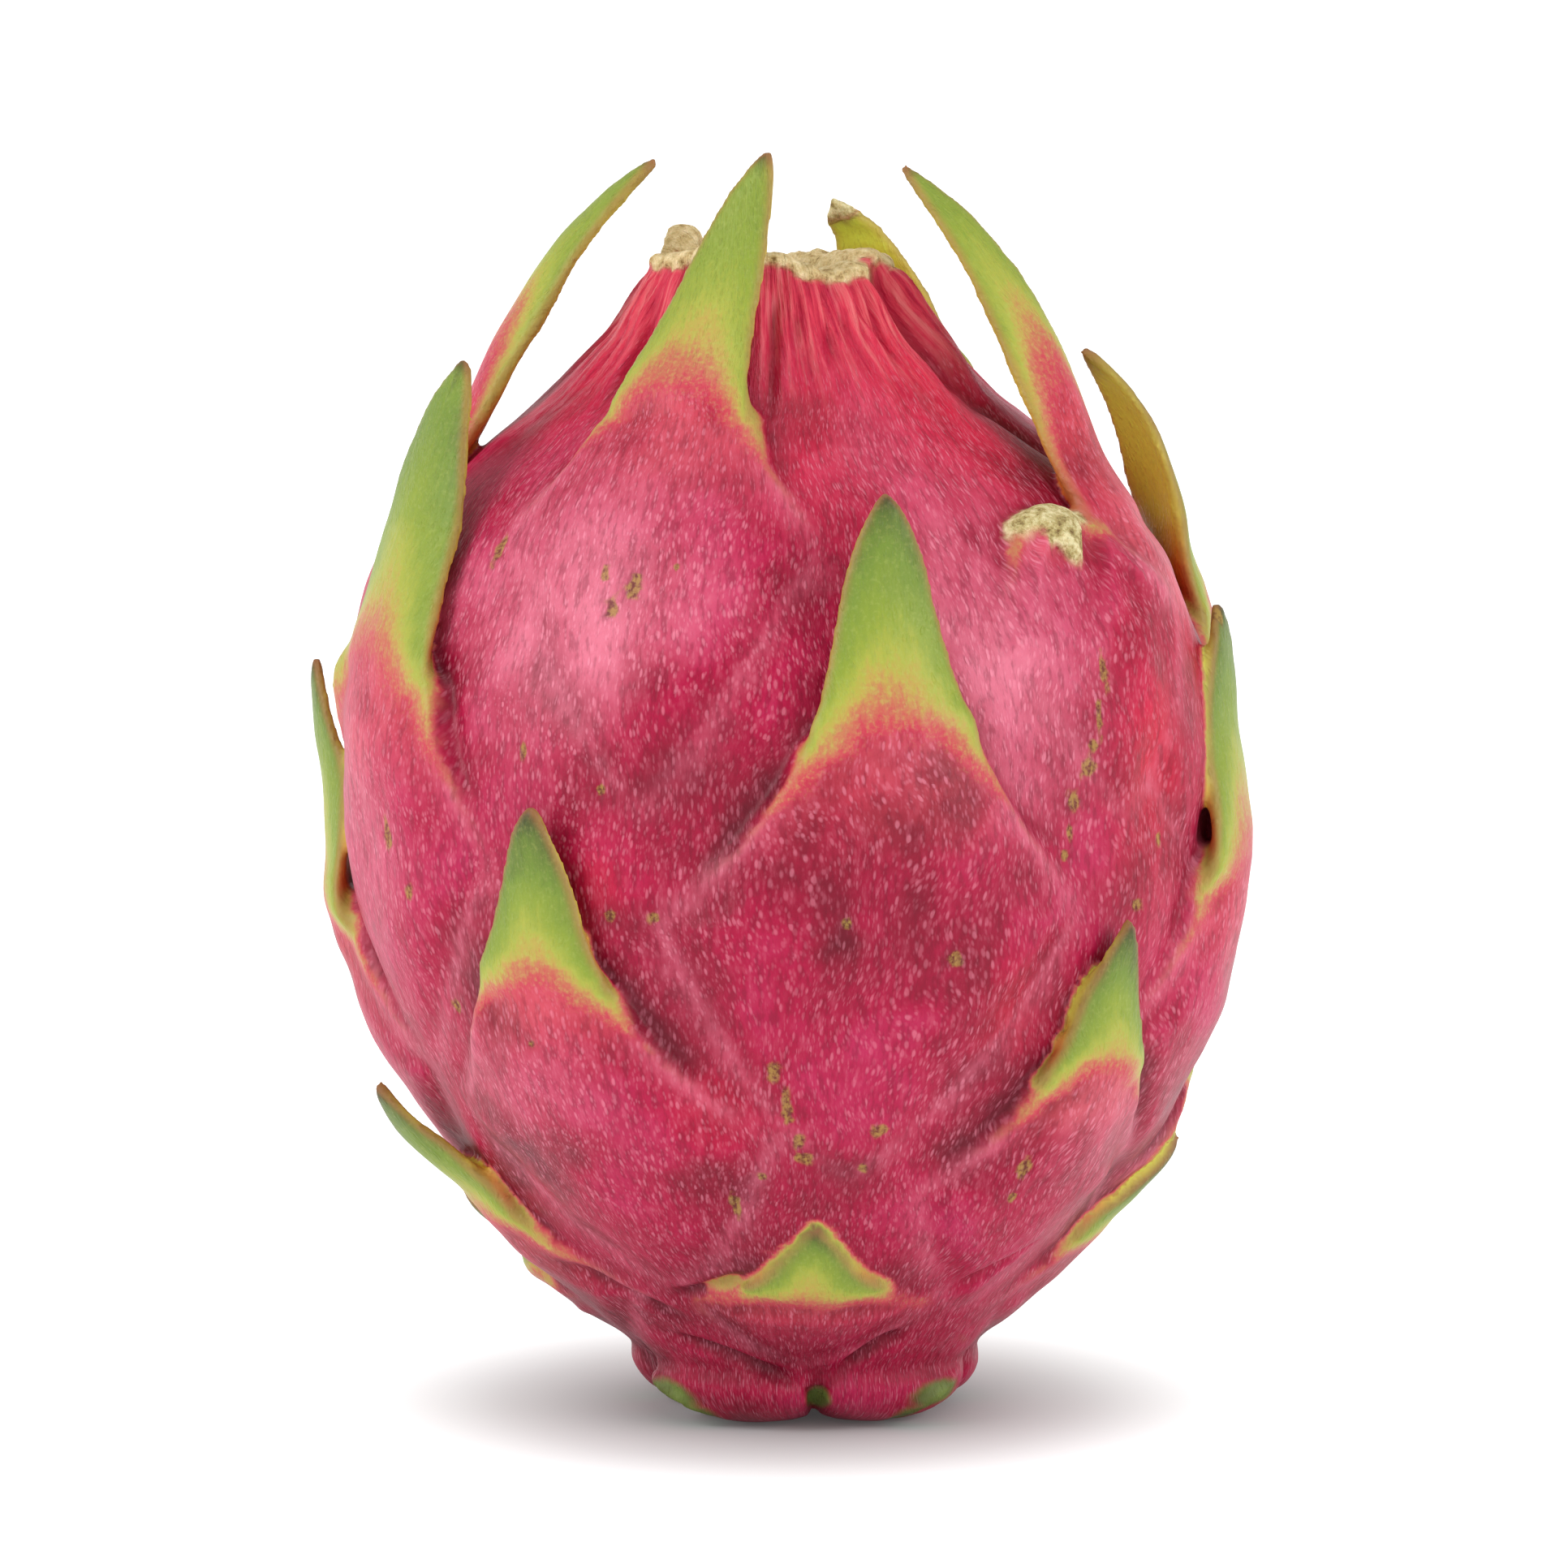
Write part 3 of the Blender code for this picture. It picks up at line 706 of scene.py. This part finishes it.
# Where the skin is darkest
SHADES = (
    (-11, 70, 9, 8, 1.0), (10, 54, 11, 8, 0.8), (60, 70, 7, 10, 0.9), (6, 29, 5, 5, 1.0),
    (-8, 44, 9, 6, 0.8), (35, 38, 4, 8, 0.8), (-54, 71, 4, 8, 0.6), (8, 88, 5, 7, 0.5), (22, 64, 3, 7, 0.6),
    (-24, 56, 6, 5, 0.7), (4, 100, 6, 6, 0.5), (-48, 50, 6, 5, 0.4), (62, 96, 6, 5, 0.5),
    (48, 58, 6, 5, 0.5), (-62, 92, 4, 6, 0.6), (90, 45, 8, 8, 0.7), (120, 74, 8, 8, 0.8),
    (148, 54, 9, 8, 0.8), (-170, 86, 8, 7, 0.7), (175, 44, 9, 7, 0.7), (-150, 72, 7, 7, 0.6),
    (-125, 56, 8, 8, 0.8), (-106, 76, 7, 8, 0.8), (-88, 46, 7, 7, 0.6), (150, 28, 8, 6, 0.7),
    (-128, 26, 8, 6, 0.7), (100, 24, 8, 6, 0.7),
)

# Where it is a brighter, warmer red
GLOWS = (
    (57, 68, 5, 13, 0.9), (44, 101, 9, 8, 1.0), (-62, 103, 7, 6, 0.8), (10, 98, 6, 8, 0.6),
    (72, 80, 5, 9, 0.7), (-26, 58, 3, 3, 0.7), (30, 46, 3, 4, 0.8), (-12, 36, 4, 4, 0.6),
    (104, 92, 8, 8, 0.8), (140, 66, 5, 9, 0.7), (-178, 56, 5, 9, 0.8), (-158, 100, 8, 6, 0.8),
    (-110, 66, 5, 9, 0.7), (-84, 98, 7, 6, 0.7),
)


def place_of(points):
    """Each point's azimuth in degrees, and its height."""
    turn = np.degrees(np.arctan2(points[:, 0] - axis_x(points[:, 2]), -points[:, 1]))
    return turn, points[:, 2]


def crease_depth(points):
    """How deep the creases press each point in."""
    turn, z = place_of(points)
    run = run_at(np.clip(z, 0.0, BODY_LENGTH)) + np.minimum(z, 0.0)
    depth = np.zeros(len(points))
    for (turn_a, z_a), (turn_b, z_b), deep, wide in CREASES:
        size = float(body_radius(min(max((z_a + z_b) / 2, 0.0), BODY_LENGTH)))
        x = np.radians(apart(turn, turn_a)) * size
        end_x = math.radians(apart(turn_b, turn_a)) * size
        y = run - float(run_at(z_a))
        end_y = float(run_at(z_b)) - float(run_at(z_a))
        length = math.hypot(end_x, end_y)
        share = clamp((x * end_x + y * end_y) / length ** 2)
        bend = 0.25 * wide * np.sin(share * 7.0 + turn_a)
        away = np.hypot(x - share * end_x, y - share * end_y) + bend * (share > 0) * (share < 1)
        fade = smooth(share / 0.25) * smooth((1.0 - share) / 0.35) * 0.75 + 0.25
        depth += deep * fade * np.exp(-(away / wide) ** 2)
    return depth


def spots_over(points, spots, rough=0.0):
    """The strongest of a table of round spots at each point, from 0 to 1."""
    turn, z = place_of(points)
    strength = np.zeros(len(points))
    for spot in spots:
        wide, long = spot[2], spot[3]
        size = float(body_radius(spot[1]))
        x = np.radians(apart(turn, spot[0])) * size / wide
        y = (z - spot[1]) / long
        near = np.nonzero(x * x + y * y < 9.0)[0]
        reach = x[near] ** 2 + y[near] ** 2
        if rough:
            reach = reach * np.exp(rough * wobble(points[near], 0.8, 5)) * 1.5
        value = np.exp(-reach) * (spot[4] if len(spot) > 4 else 1.0)
        strength[near] = np.maximum(strength[near], value)
    return strength


def pleats(points):
    """Fine upright folds of the neck, in millimetres."""
    turn, z = place_of(points)
    near = np.nonzero(z > 88.0)[0]
    angle = np.radians(turn[near])
    bend = 0.05 * np.sin(z[near] * 0.35)
    folds = np.zeros(len(points))
    for count, size, seed in ((5.5, 0.45, 11), (11.0, 0.26, 12), (22.0, 0.12, 13)):
        across = np.stack([np.cos(angle + bend), np.sin(angle + bend)], axis=1) * count
        spots = np.column_stack([across, z[near] * 0.035])
        value = wobble(spots, 1.0, seed)
        folds[near] += size * (1.0 - 2.6 * np.abs(value))
    high = between(z, 96.0, 108.0) * (1.0 - 0.5 * between(z, 112.0, 115.5))
    return folds * high


def sculpted(skin, source):
    """Soften the grown skin, then press the pleats, creases and dents into it."""
    source_points, source_triangles, source_marks, tree = source
    points = points_of(skin)
    near = Neighbours(skin)
    for _ in range(6):
        points = near.relaxed(near.relaxed(points, 1, 0.5), 1, -0.52)
    marks = marks_at(points, source_points, source_triangles, source_marks, tree)
    leafy = (marks["kind"] > 0.5) * 1.0
    free = near.relaxed(leafy * between(marks["along"], -1.0, 2.0), 3)
    root = leafy * between(marks["along"], -5.0, -1.0) * (1.0 - between(marks["along"], 3.0, 7.0))
    root = near.relaxed(root * (np.abs(marks["across"]) < 0.8) * (marks["inside"] < 0.5), 4)
    points = near.relaxed(points, 24, 0.55 * root)
    lips = leafy * (marks["edge"] < 1.8) * between(marks["along"], -22.0, -14.0) * (marks["along"] < 2.5)
    points = near.relaxed(points, 16, 0.5 * clamp(2.2 * near.relaxed(lips, 5)))
    thin = leafy * (marks["edge"] < 0.8) * between(marks["along"], -1.0, 4.0)
    points = near.relaxed(points, 5, 0.5 * near.relaxed(thin, 1))
    points = near.relaxed(points, 3, 0.5 * (1.0 - free))
    rough = wobble(points, 9.0, 1) * 0.45 + wobble(points, 3.6, 2) * 0.14
    core = 1.0 - free
    push = rough * core * between(points[:, 2], 1.0, 8.0) + wobble(points, 5.0, 4) * 0.18 * free
    bare = core * (1.0 - near.relaxed(leafy * between(marks["along"], -9.0, -2.0), 6))
    push += pleats(points) * bare - crease_depth(points) * core
    push -= 0.16 * spots_over(points, SCUFFS, 1.4) * core
    dry = near.relaxed((marks["kind"] > 1.5) * 1.0, 2)
    push += dry * (wobble(points, 1.4, 6) * 0.08 + wobble(points, 0.7, 7) * 0.05)
    skin.vertices.foreach_set("co", points.ravel())
    skin.update()
    points = points + normals_of(skin) * push[:, None]
    points = near.relaxed(points, 1, 0.35)
    points[:, 2] = np.maximum(points[:, 2], 0.0)
    skin.vertices.foreach_set("co", points.ravel())
    skin.update()
    return skin


# ---------------------------------------------------------------------------------------------------------
# What the skin's colour reads, point by point


def skin_values(skin, source):
    """The skin's values by name, one number a point, most of them from 0 to 1."""
    source_points, source_triangles, source_marks, tree = source
    points = points_of(skin)
    near = Neighbours(skin)
    marks = marks_at(points, source_points, source_triangles, source_marks, tree)
    normals = normals_of(skin)
    kind, along, reach = marks["kind"], marks["along"], marks["reach"]
    across = np.abs(marks["across"])
    leafy = between(kind, 0.3, 0.8) * (1.0 - between(kind, 1.1, 1.6))
    stretch = np.clip(reach / 23.0, 0.45, 1.15)
    waver = wobble(points, 5.0, 21) * 1.6 + wobble(points, 1.8, 22) * 0.5
    long = clamp((reach - 30.0) / 6.0) * 13.0
    pink_end = (mix(-3.5, -12.0, across ** 2.6) + long) * stretch + waver
    green_start = (mix(10.5, -4.0, across ** 2.2) + long) * stretch + waver
    first = clamp((along - pink_end) / (green_start - pink_end))
    second = clamp((along - green_start) / np.maximum(reach - green_start, 1.0))
    second = second * (1.0 - 0.65 * between(points[:, 2], 97.0, 106.0))
    green = leafy * (0.5 * first + 0.5 * second + 0.34 * first * (1.0 - np.minimum(stretch, 1.0)))
    tip = leafy * smooth((along - reach + 2.4) / 2.2)
    blush = leafy * between(along, -15.0 * stretch, -4.0 * stretch) * (1.0 - 0.6 * across ** 2)
    inner = leafy * smooth(marks["inside"] * 2.0 - 0.5) * between(along, -1.0, 1.5)
    wing = between(along, -17.0 * stretch, -5.0 * stretch)
    rim = leafy * (1.0 - between(marks["edge"], 0.25, 0.9)) * wing
    # A painted highlight along each facet's lip below its tongue's root
    at_edge = (marks["edge"] > 0.0) * (1.0 - between(marks["edge"], 0.4, 2.2))
    fold = leafy * at_edge * between(-along, 3.0, 9.0)
    # Small dips of the skin, darkened as painted shade, and small ridges, lightened as a painted highlight
    broad = near.relaxed(points, 24, 0.5)
    hollow = ((broad - points) * normals).sum(1)
    # Broad dips of the skin, darkened as painted shade
    wide = near.relaxed(points, 120, 0.5)
    deep = ((wide - points) * normals).sum(1)
    return {
        "green": near.relaxed(green, 4),
        "tip": tip,
        "blush": near.relaxed(blush, 6),
        "inner": near.relaxed(inner, 1),
        "rim": near.relaxed(rim, 1),
        "valley": near.relaxed(between(hollow, 0.0, 0.30), 3),
        # ridges lighten as a painted highlight
        "ridge": near.relaxed(between(-hollow, 0.02, 0.30), 2),
        "deep": near.relaxed(between(deep, -0.05, 0.9), 6),
        "dry": near.relaxed(between(kind, 1.3, 1.8), 1),
        "withered": near.relaxed(between(kind, 2.2, 2.8), 1),
        "fold": near.relaxed(fold, 3),
        "scuff": spots_over(points, SCUFFS, 1.4),
        "bloom": near.relaxed(spots_over(points, SHEENS_AND_BLOOMS), 4),
        "shade": near.relaxed(spots_over(points, SHADES), 4),
        "glow": near.relaxed(spots_over(points, GLOWS), 4),
        "flap": near.relaxed(spots_over(points, FLAPS), 1),
        "pleated": between(points[:, 2], 99.0, 111.0) * (1.0 - leafy * between(along, -9.0, -2.0)),
        # darker towards the bottom, as painted shade
        "low": 1.0 - between(points[:, 2], -8.0, 62.0),
        "share": clamp(along / reach),
    }


GROWTH_RADIUS = 0.036  # of the straight tube that the skin's flecks and threads are laid out on, in metres


def growth_of(skin):
    """Each point's place if the fruit were a straight tube, for what runs up the skin from foot to neck."""
    turn, z = place_of(points_of(skin))
    run = run_at(z) + np.maximum(z - BODY_LENGTH, 0.0)
    lined = GROWTH_RADIUS * outward(np.radians(turn))
    lined[:, 2] = run * MM
    return lined


def keep_values(mesh, values):
    """Keep numbers and vectors on a mesh's points, where its material reads them by name."""
    for name, numbers in values.items():
        kind, field = ("FLOAT", "value") if numbers.ndim == 1 else ("FLOAT_VECTOR", "vector")
        layer = mesh.attributes.new(name, kind, "POINT")
        layer.data.foreach_set(field, np.ascontiguousarray(numbers.ravel(), np.float32))


def fruit_skin():
    """The whole fruit as one mesh in the frame, with the values its material reads."""
    skin, source = grow_skin()
    skin = sculpted(skin, source)
    triangles = 2 * len(skin.polygons)
    share = min(MOST_TRIANGLES / triangles, 1.0)
    skin = through_modifier(skin, "DECIMATE", {"decimate_type": "COLLAPSE", "ratio": share})
    keep_values(skin, {**skin_values(skin, source), "growth": growth_of(skin)})
    middle = Vector((AXIS_SHIFT[0], AXIS_SHIFT[1], 0.0))
    skin.transform(Matrix.Scale(MM, 4) @ Matrix.Translation(middle))
    skin.shade_smooth()
    fruit = bpy.data.objects.new("dragon_fruit_skin", skin)
    bpy.context.scene.collection.objects.link(fruit)
    return fruit


# ---------------------------------------------------------------------------------------------------------
# Materials


class Wire:
    """A socket that takes part in sums: each sum adds its Math node."""

    def __init__(self, kit, socket):
        self.kit = kit
        self.socket = socket

    def __add__(self, other):
        return self.kit.sum("ADD", self, other)

    __radd__ = __add__

    def __mul__(self, other):
        return self.kit.sum("MULTIPLY", self, other)

    __rmul__ = __mul__

    def __sub__(self, other):
        return self.kit.sum("SUBTRACT", self, other)

    def __rsub__(self, other):
        return self.kit.sum("SUBTRACT", other, self)

    def __truediv__(self, other):
        return self.kit.sum("DIVIDE", self, other)


class Kit:
    """A material and the nodes it is mixed from."""

    def __init__(self, name):
        self.material = bpy.data.materials.new(name)
        self.material.use_nodes = True
        self.tree = self.material.node_tree
        self.shader = self.tree.nodes["Principled BSDF"]

    def node(self, kind, settings, sockets, output=0):
        made = self.tree.nodes.new(kind)
        for name, value in settings.items():
            if name == "stops":
                self.set_stops(made.color_ramp, value)
            else:
                setattr(made, name, value)
        for name, value in sockets.items():
            self.feed(made.inputs[name], value)
        return Wire(self, made.outputs[output])

    def set_stops(self, ramp, stops):
        while len(ramp.elements) < len(stops):
            ramp.elements.new(1.0)
        for element, (place, colour) in zip(ramp.elements, stops):
            element.position = place
            element.color = colour

    def feed(self, socket, value):
        if isinstance(value, Wire):
            self.tree.links.new(value.socket, socket)
        else:
            socket.default_value = value

    def sum(self, operation, a, b):
        return self.node("ShaderNodeMath", {"operation": operation}, {0: a, 1: b})

    def held(self, wire):
        return self.node("ShaderNodeClamp", {}, {"Value": wire})

    def step(self, wire, low, high):
        """0 below low, 1 above high, eased between."""
        settings = {"interpolation_type": "SMOOTHSTEP"}
        return self.node("ShaderNodeMapRange", settings, {"Value": wire, "From Min": low, "From Max": high})

    def value(self, name):
        return self.node("ShaderNodeAttribute", {"attribute_name": name}, {}, "Fac")

    def vector(self, name):
        return self.node("ShaderNodeAttribute", {"attribute_name": name}, {}, "Vector")

    def stretched(self, vector, scale):
        settings = {"operation": "MULTIPLY"}
        return self.node("ShaderNodeVectorMath", settings, {0: vector, 1: scale})

    def noise(self, vector, scale, detail=2.0, roughness=0.5):
        sockets = {"Vector": vector, "Scale": scale, "Detail": detail, "Roughness": roughness}
        return self.node("ShaderNodeTexNoise", {}, sockets, "Fac")

    def cells(self, vector, scale):
        sockets = {"Vector": vector, "Scale": scale, "Randomness": 1.0}
        away = self.node("ShaderNodeTexVoronoi", {}, sockets, "Distance")
        chance = self.node("ShaderNodeTexVoronoi", {}, sockets, "Color")
        return away, chance

    def colour(self, share, a, b):
        return self.node("ShaderNodeMix", {"data_type": "RGBA"}, {0: share, 6: a, 7: b}, 2)

    def ramp(self, wire, stops):
        return self.node("ShaderNodeValToRGB", {"stops": stops}, {"Fac": wire}, "Color")

    def bump(self, height, distance, strength, under=None):
        sockets = {"Height": height, "Distance": distance, "Strength": strength}
        if under is not None:
            sockets["Normal"] = under
        return self.node("ShaderNodeBump", {}, sockets)

    def finish(self, **sockets):
        for name, value in sockets.items():
            self.feed(self.shader.inputs[name.replace("_", " ")], value)
        return self.material


def paint(red, green, blue):
    """A colour from its usual 0 to 255 values."""
    def linear(value):
        value /= 255.0
        return value / 12.92 if value <= 0.04045 else ((value + 0.055) / 1.055) ** 2.4

    return (linear(red), linear(green), linear(blue), 1.0)


CRIMSON_DEEP = paint(92, 0, 24)
CRIMSON = paint(128, 0, 38)
MAGENTA = paint(152, 2, 52)
ROSE = paint(168, 28, 74)
SHEEN_AND_BLOOM = paint(204, 106, 128)
FLECK = paint(220, 130, 150)
RED = paint(198, 12, 50)


def rind_material():
    kit = Kit("rind")
    place = kit.node("ShaderNodeTexCoord", {}, {}, "Object")
    green, valley, deep = kit.value("green"), kit.value("valley"), kit.value("deep")
    ridge, bloom, dry = kit.value("ridge"), kit.value("bloom"), kit.value("dry")
    inner, tip, rim = kit.value("inner"), kit.value("tip"), kit.value("rim")
    scuff, pleated, share = kit.value("scuff"), kit.value("pleated"), kit.value("share")
    low, shade = kit.value("low"), kit.value("shade")
    growth = kit.vector("growth")

    broad = kit.noise(place, 42.0, 2.0)
    patchy = kit.noise(place, 150.0, 3.0)
    fibre = kit.noise(kit.stretched(growth, (1700.0, 1700.0, 420.0)), 1.0, 3.0, 0.6)
    grain = kit.noise(place, 2400.0, 2.0, 0.6)

    # the pink skin, from deep crimson to rose, with painted shade that darkens it in the hollows and towards
    # the bottom, a painted highlight on the ridges and a painted sheen, partly waxy bloom, on the swells
    tone = 0.64 + (broad - 0.5) * 1.5 + (patchy - 0.5) * 1.2 - deep * 0.28 - valley * 0.16 - low * 0.42
    tone = kit.held(tone + ridge * 0.25 - shade * 0.36)
    skin = kit.ramp(tone, ((0.0, CRIMSON_DEEP), (0.3, CRIMSON), (0.6, MAGENTA), (1.0, ROSE)))
    skin = kit.colour(kit.value("glow") * (0.55 + (patchy - 0.5) * 1.2), skin, RED)
    # painted sheen, partly pale waxy bloom, less of it in the painted shade
    sheen_and_bloom_haze = kit.held(bloom * (0.72 + (patchy - 0.5) * 2.2) - valley * 0.2 - shade * 0.5)
    skin = kit.colour(sheen_and_bloom_haze, skin, SHEEN_AND_BLOOM)
    skin = kit.colour(kit.value("blush") * (0.30 + (patchy - 0.5) * 0.8), skin, paint(206, 92, 92))
    # painted highlight along the facets' lips
    skin = kit.colour(kit.value("fold") * (0.25 + fibre * 0.5), skin, SHEEN_AND_BLOOM)
    skin = kit.colour(kit.step(fibre, 0.52, 0.74) * (0.20 - shade * 0.12), skin, SHEEN_AND_BLOOM)

    # pale flecks that run up the skin, some bold and more of them fine, and darker threads between
    bend = kit.stretched(kit.noise(place, 70.0, 1.0), (0.006, 0.006, 0.0))
    bent = kit.node("ShaderNodeVectorMath", {"operation": "ADD"}, {0: growth, 1: bend})
    away, chance = kit.cells(kit.stretched(bent, (2300.0, 2300.0, 760.0)), 1.0)
    bold = (1.0 - kit.step(away, 0.20, 0.46)) * kit.step(chance, 0.1, 0.9)
    away, chance = kit.cells(kit.stretched(bent, (4200.0, 4200.0, 1250.0)), 1.0)
    fine = (1.0 - kit.step(away, 0.20, 0.52)) * kit.step(chance, 0.2, 0.8)
    fleck = kit.held(bold + fine * 0.55) * kit.held(1.1 - valley * 0.5 - pleated * 0.6)
    skin = kit.colour((1.0 - kit.step(fibre, 0.34, 0.52)) * 0.38, skin, CRIMSON_DEEP)
    skin = kit.colour(fleck * kit.held(0.38 + bloom * 0.26 - shade * 0.18), skin, FLECK)

    # the neck's pleats, duller and streaked
    streak = kit.noise(kit.stretched(growth, (620.0, 620.0, 95.0)), 1.0, 3.0, 0.62)
    pleat = kit.ramp(
        streak,
        ((0.36, paint(166, 12, 44)), (0.5, paint(204, 52, 70)), (0.66, paint(220, 110, 110))),
    )
    skin = kit.colour(pleated * (0.75 - valley * 0.4), skin, pleat)

    # the scales' way from pink through salmon and yellow to green
    way = kit.held(green + (grain - 0.5) * 0.16 + (fibre - 0.5) * 0.20 + (patchy - 0.5) * 0.16)
    leaf = kit.ramp(
        way,
        (
            (0.0, paint(178, 32, 64)),
            (0.12, paint(178, 62, 72)),
            (0.23, paint(174, 104, 74)),
            (0.33, paint(166, 144, 68)),
            (0.43, paint(150, 154, 60)),
            (0.56, paint(124, 140, 48)),
            (0.78, paint(102, 124, 46)),
            (1.0, paint(70, 84, 38)),
        ),
    )
    leaf = kit.colour(kit.step(grain, 0.45, 0.8) * 0.25, leaf, paint(170, 176, 92))
    skin = kit.colour(kit.step(green, 0.01, 0.16), skin, leaf)
    skin = kit.colour(tip * 0.9, skin, paint(58, 46, 30))

    # inner faces: olive yellow, red at the root, made paler as painted light that shines through the thin
    # tongue
    inside = kit.ramp(
        share,
        (
            (0.0, paint(164, 24, 30)),
            (0.16, paint(206, 122, 38)),
            (0.34, paint(222, 226, 76)),
            (0.85, paint(196, 212, 76)),
            (1.0, paint(110, 96, 44)),
        ),
    )
    inside = kit.colour(kit.step(grain, 0.42, 0.8) * 0.2, inside, paint(120, 112, 24))
    skin = kit.colour(inner, skin, inside)
    skin = kit.colour(rim * 0.55, skin, paint(162, 108, 68))
    flap_tone = kit.ramp(patchy, ((0.35, paint(60, 56, 28)), (0.6, paint(104, 120, 56))))
    skin = kit.colour(kit.step(kit.value("flap") + (patchy - 0.5) * 0.5, 0.3, 0.7), skin, flap_tone)

    # scuffs, and the papery rim
    scuffed = kit.step(scuff * (0.45 + fibre * 0.7 + patchy * 0.5), 0.24, 0.72)
    scuff_tone = kit.ramp(grain + (fibre - 0.5), ((0.35, paint(82, 44, 26)), (0.62, paint(148, 122, 58))))
    skin = kit.colour(scuffed * 0.8, skin, scuff_tone)
    cork_grain = kit.noise(place, 900.0, 4.0, 0.7)
    cork = kit.ramp(
        cork_grain,
        ((0.30, paint(128, 100, 58)), (0.45, paint(190, 166, 116)), (0.7, paint(226, 206, 164))),
    )
    papery = kit.ramp(
        cork_grain,
        ((0.32, paint(104, 80, 46)), (0.46, paint(166, 150, 98)), (0.62, paint(208, 196, 152))),
    )
    skin = kit.colour(dry, skin, kit.colour(kit.value("withered"), cork, papery))

    height = fleck * 0.7 + fibre * 0.9 + grain * 0.25
    soft = kit.bump(height, 0.00008, 1.0)
    height = kit.noise(place, 380.0, 3.0, 0.6) + pleated * streak * 2.2 + dry * cork_grain * 3.0
    normal = kit.bump(height, 0.00022, 0.8, soft)
    rough = kit.held(0.42 + (patchy - 0.5) * 0.16 + dry * 0.4 + scuffed * 0.2 + pleated * 0.08)
    kit.finish(Base_Color=skin, Roughness=rough, Normal=normal)
    kit.shader.inputs["Specular IOR Level"].default_value = 0.20
    kit.shader.inputs["Subsurface Weight"].default_value = 0.08
    kit.shader.inputs["Subsurface Radius"].default_value = (0.0030, 0.0010, 0.0008)
    kit.shader.inputs["Subsurface Scale"].default_value = 1.0
    return kit.material


def floor_material():
    """Matt white that glows away from the middle, so that it stays white where the lights don't reach; its dim
    middle is a painted shadow.
    """
    kit = Kit("floor")
    place = kit.node("ShaderNodeTexCoord", {}, {}, "Object")
    away = kit.node("ShaderNodeVectorMath", {"operation": "LENGTH"}, {0: place}, "Value")
    # painted contact shadow: the glow is all but out under the fruit and rises to full within 75 mm of the
    # middle
    glow = kit.ramp(
        away / 0.5,
        (
            (0.028, (0.04, 0.04, 0.04, 1.0)),
            (0.057, (0.35, 0.35, 0.35, 1.0)),
            (0.088, (0.79, 0.80, 0.80, 1.0)),
            (0.15, (0.93, 0.935, 0.935, 1.0)),
        ),
    )
    kit.finish(Emission_Color=glow)
    kit.shader.inputs["Emission Strength"].default_value = 1.0
    kit.shader.inputs["Base Color"].default_value = (0.46, 0.46, 0.46, 1.0)
    kit.shader.inputs["Roughness"].default_value = 0.8
    kit.shader.inputs["Specular IOR Level"].default_value = 0.0
    return kit.material


# ---------------------------------------------------------------------------------------------------------
# The stage: floor, light and camera, in metres

FLOOR_RADIUS = 12.0
FLOOR_WALL = 2.5
WORLD_LIGHT = 0.62
LIGHT_AIM = (0.0, 0.0, 0.06)


def pale_floor():
    bm = bmesh.new()
    bmesh.ops.create_circle(bm, cap_ends=True, segments=64, radius=FLOOR_RADIUS)
    rim = bmesh.ops.extrude_edge_only(bm, edges=bm.edges[:])["geom"]
    raised = [item for item in rim if isinstance(item, bmesh.types.BMVert)]
    bmesh.ops.translate(bm, verts=raised, vec=(0.0, 0.0, FLOOR_WALL))
    mesh = bpy.data.meshes.new("floor")
    bm.to_mesh(mesh)
    bm.free()
    mesh.materials.append(floor_material())
    floor = bpy.data.objects.new("floor", mesh)
    bpy.context.scene.collection.objects.link(floor)
    return floor


def soft_light(name, place, size, power):
    light = bpy.data.lights.new(name, "AREA")
    light.shape = "RECTANGLE"
    light.size, light.size_y = size
    light.energy = power
    lamp = bpy.data.objects.new(name, light)
    lamp.location = place
    lamp.rotation_euler = (Vector(LIGHT_AIM) - Vector(place)).to_track_quat("-Z", "Y").to_euler()
    bpy.context.scene.collection.objects.link(lamp)


def studio():
    world = bpy.data.worlds.new("studio")
    world.use_nodes = True
    background = world.node_tree.nodes["Background"]
    background.inputs["Color"].default_value = (1.0, 1.0, 1.0, 1.0)
    background.inputs["Strength"].default_value = WORLD_LIGHT
    bpy.context.scene.world = world
    soft_light("left", (-0.92, -0.50, 0.58), (0.6, 0.7), 7.5)
    soft_light("right", (0.95, -0.55, 0.45), (0.5, 0.7), 6.0)
    soft_light("top", (0.0, -0.15, 1.0), (0.7, 0.5), 2.5)


CAMERA_AIM = (-0.0007, -0.0003, 0.0622)
CAMERA_AWAY = 1.0
CAMERA_RISE = math.radians(8.0)
FRAME_HEIGHT = 0.1546  # how much of the fruit's plane the view holds, from bottom to top
SENSOR = 36.0


def front_camera():
    camera = bpy.data.cameras.new("front")
    camera.sensor_width = SENSOR
    camera.lens = SENSOR * CAMERA_AWAY / FRAME_HEIGHT
    camera.clip_start = 0.05
    back = Vector((0.0, -math.cos(CAMERA_RISE), math.sin(CAMERA_RISE)))
    eye = bpy.data.objects.new("front", camera)
    eye.location = Vector(CAMERA_AIM) + back * CAMERA_AWAY
    eye.rotation_euler = (-back).to_track_quat("-Z", "Y").to_euler()
    bpy.context.scene.collection.objects.link(eye)
    bpy.context.scene.camera = eye


def main():
    front_camera()
    studio()
    bpy.context.scene.view_settings.view_transform = "Standard"
    pale_floor()
    fruit = fruit_skin()
    fruit.data.materials.clear()
    fruit.data.materials.append(rind_material())
    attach(fruit, "root")
    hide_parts("dragon_fruit")


main()
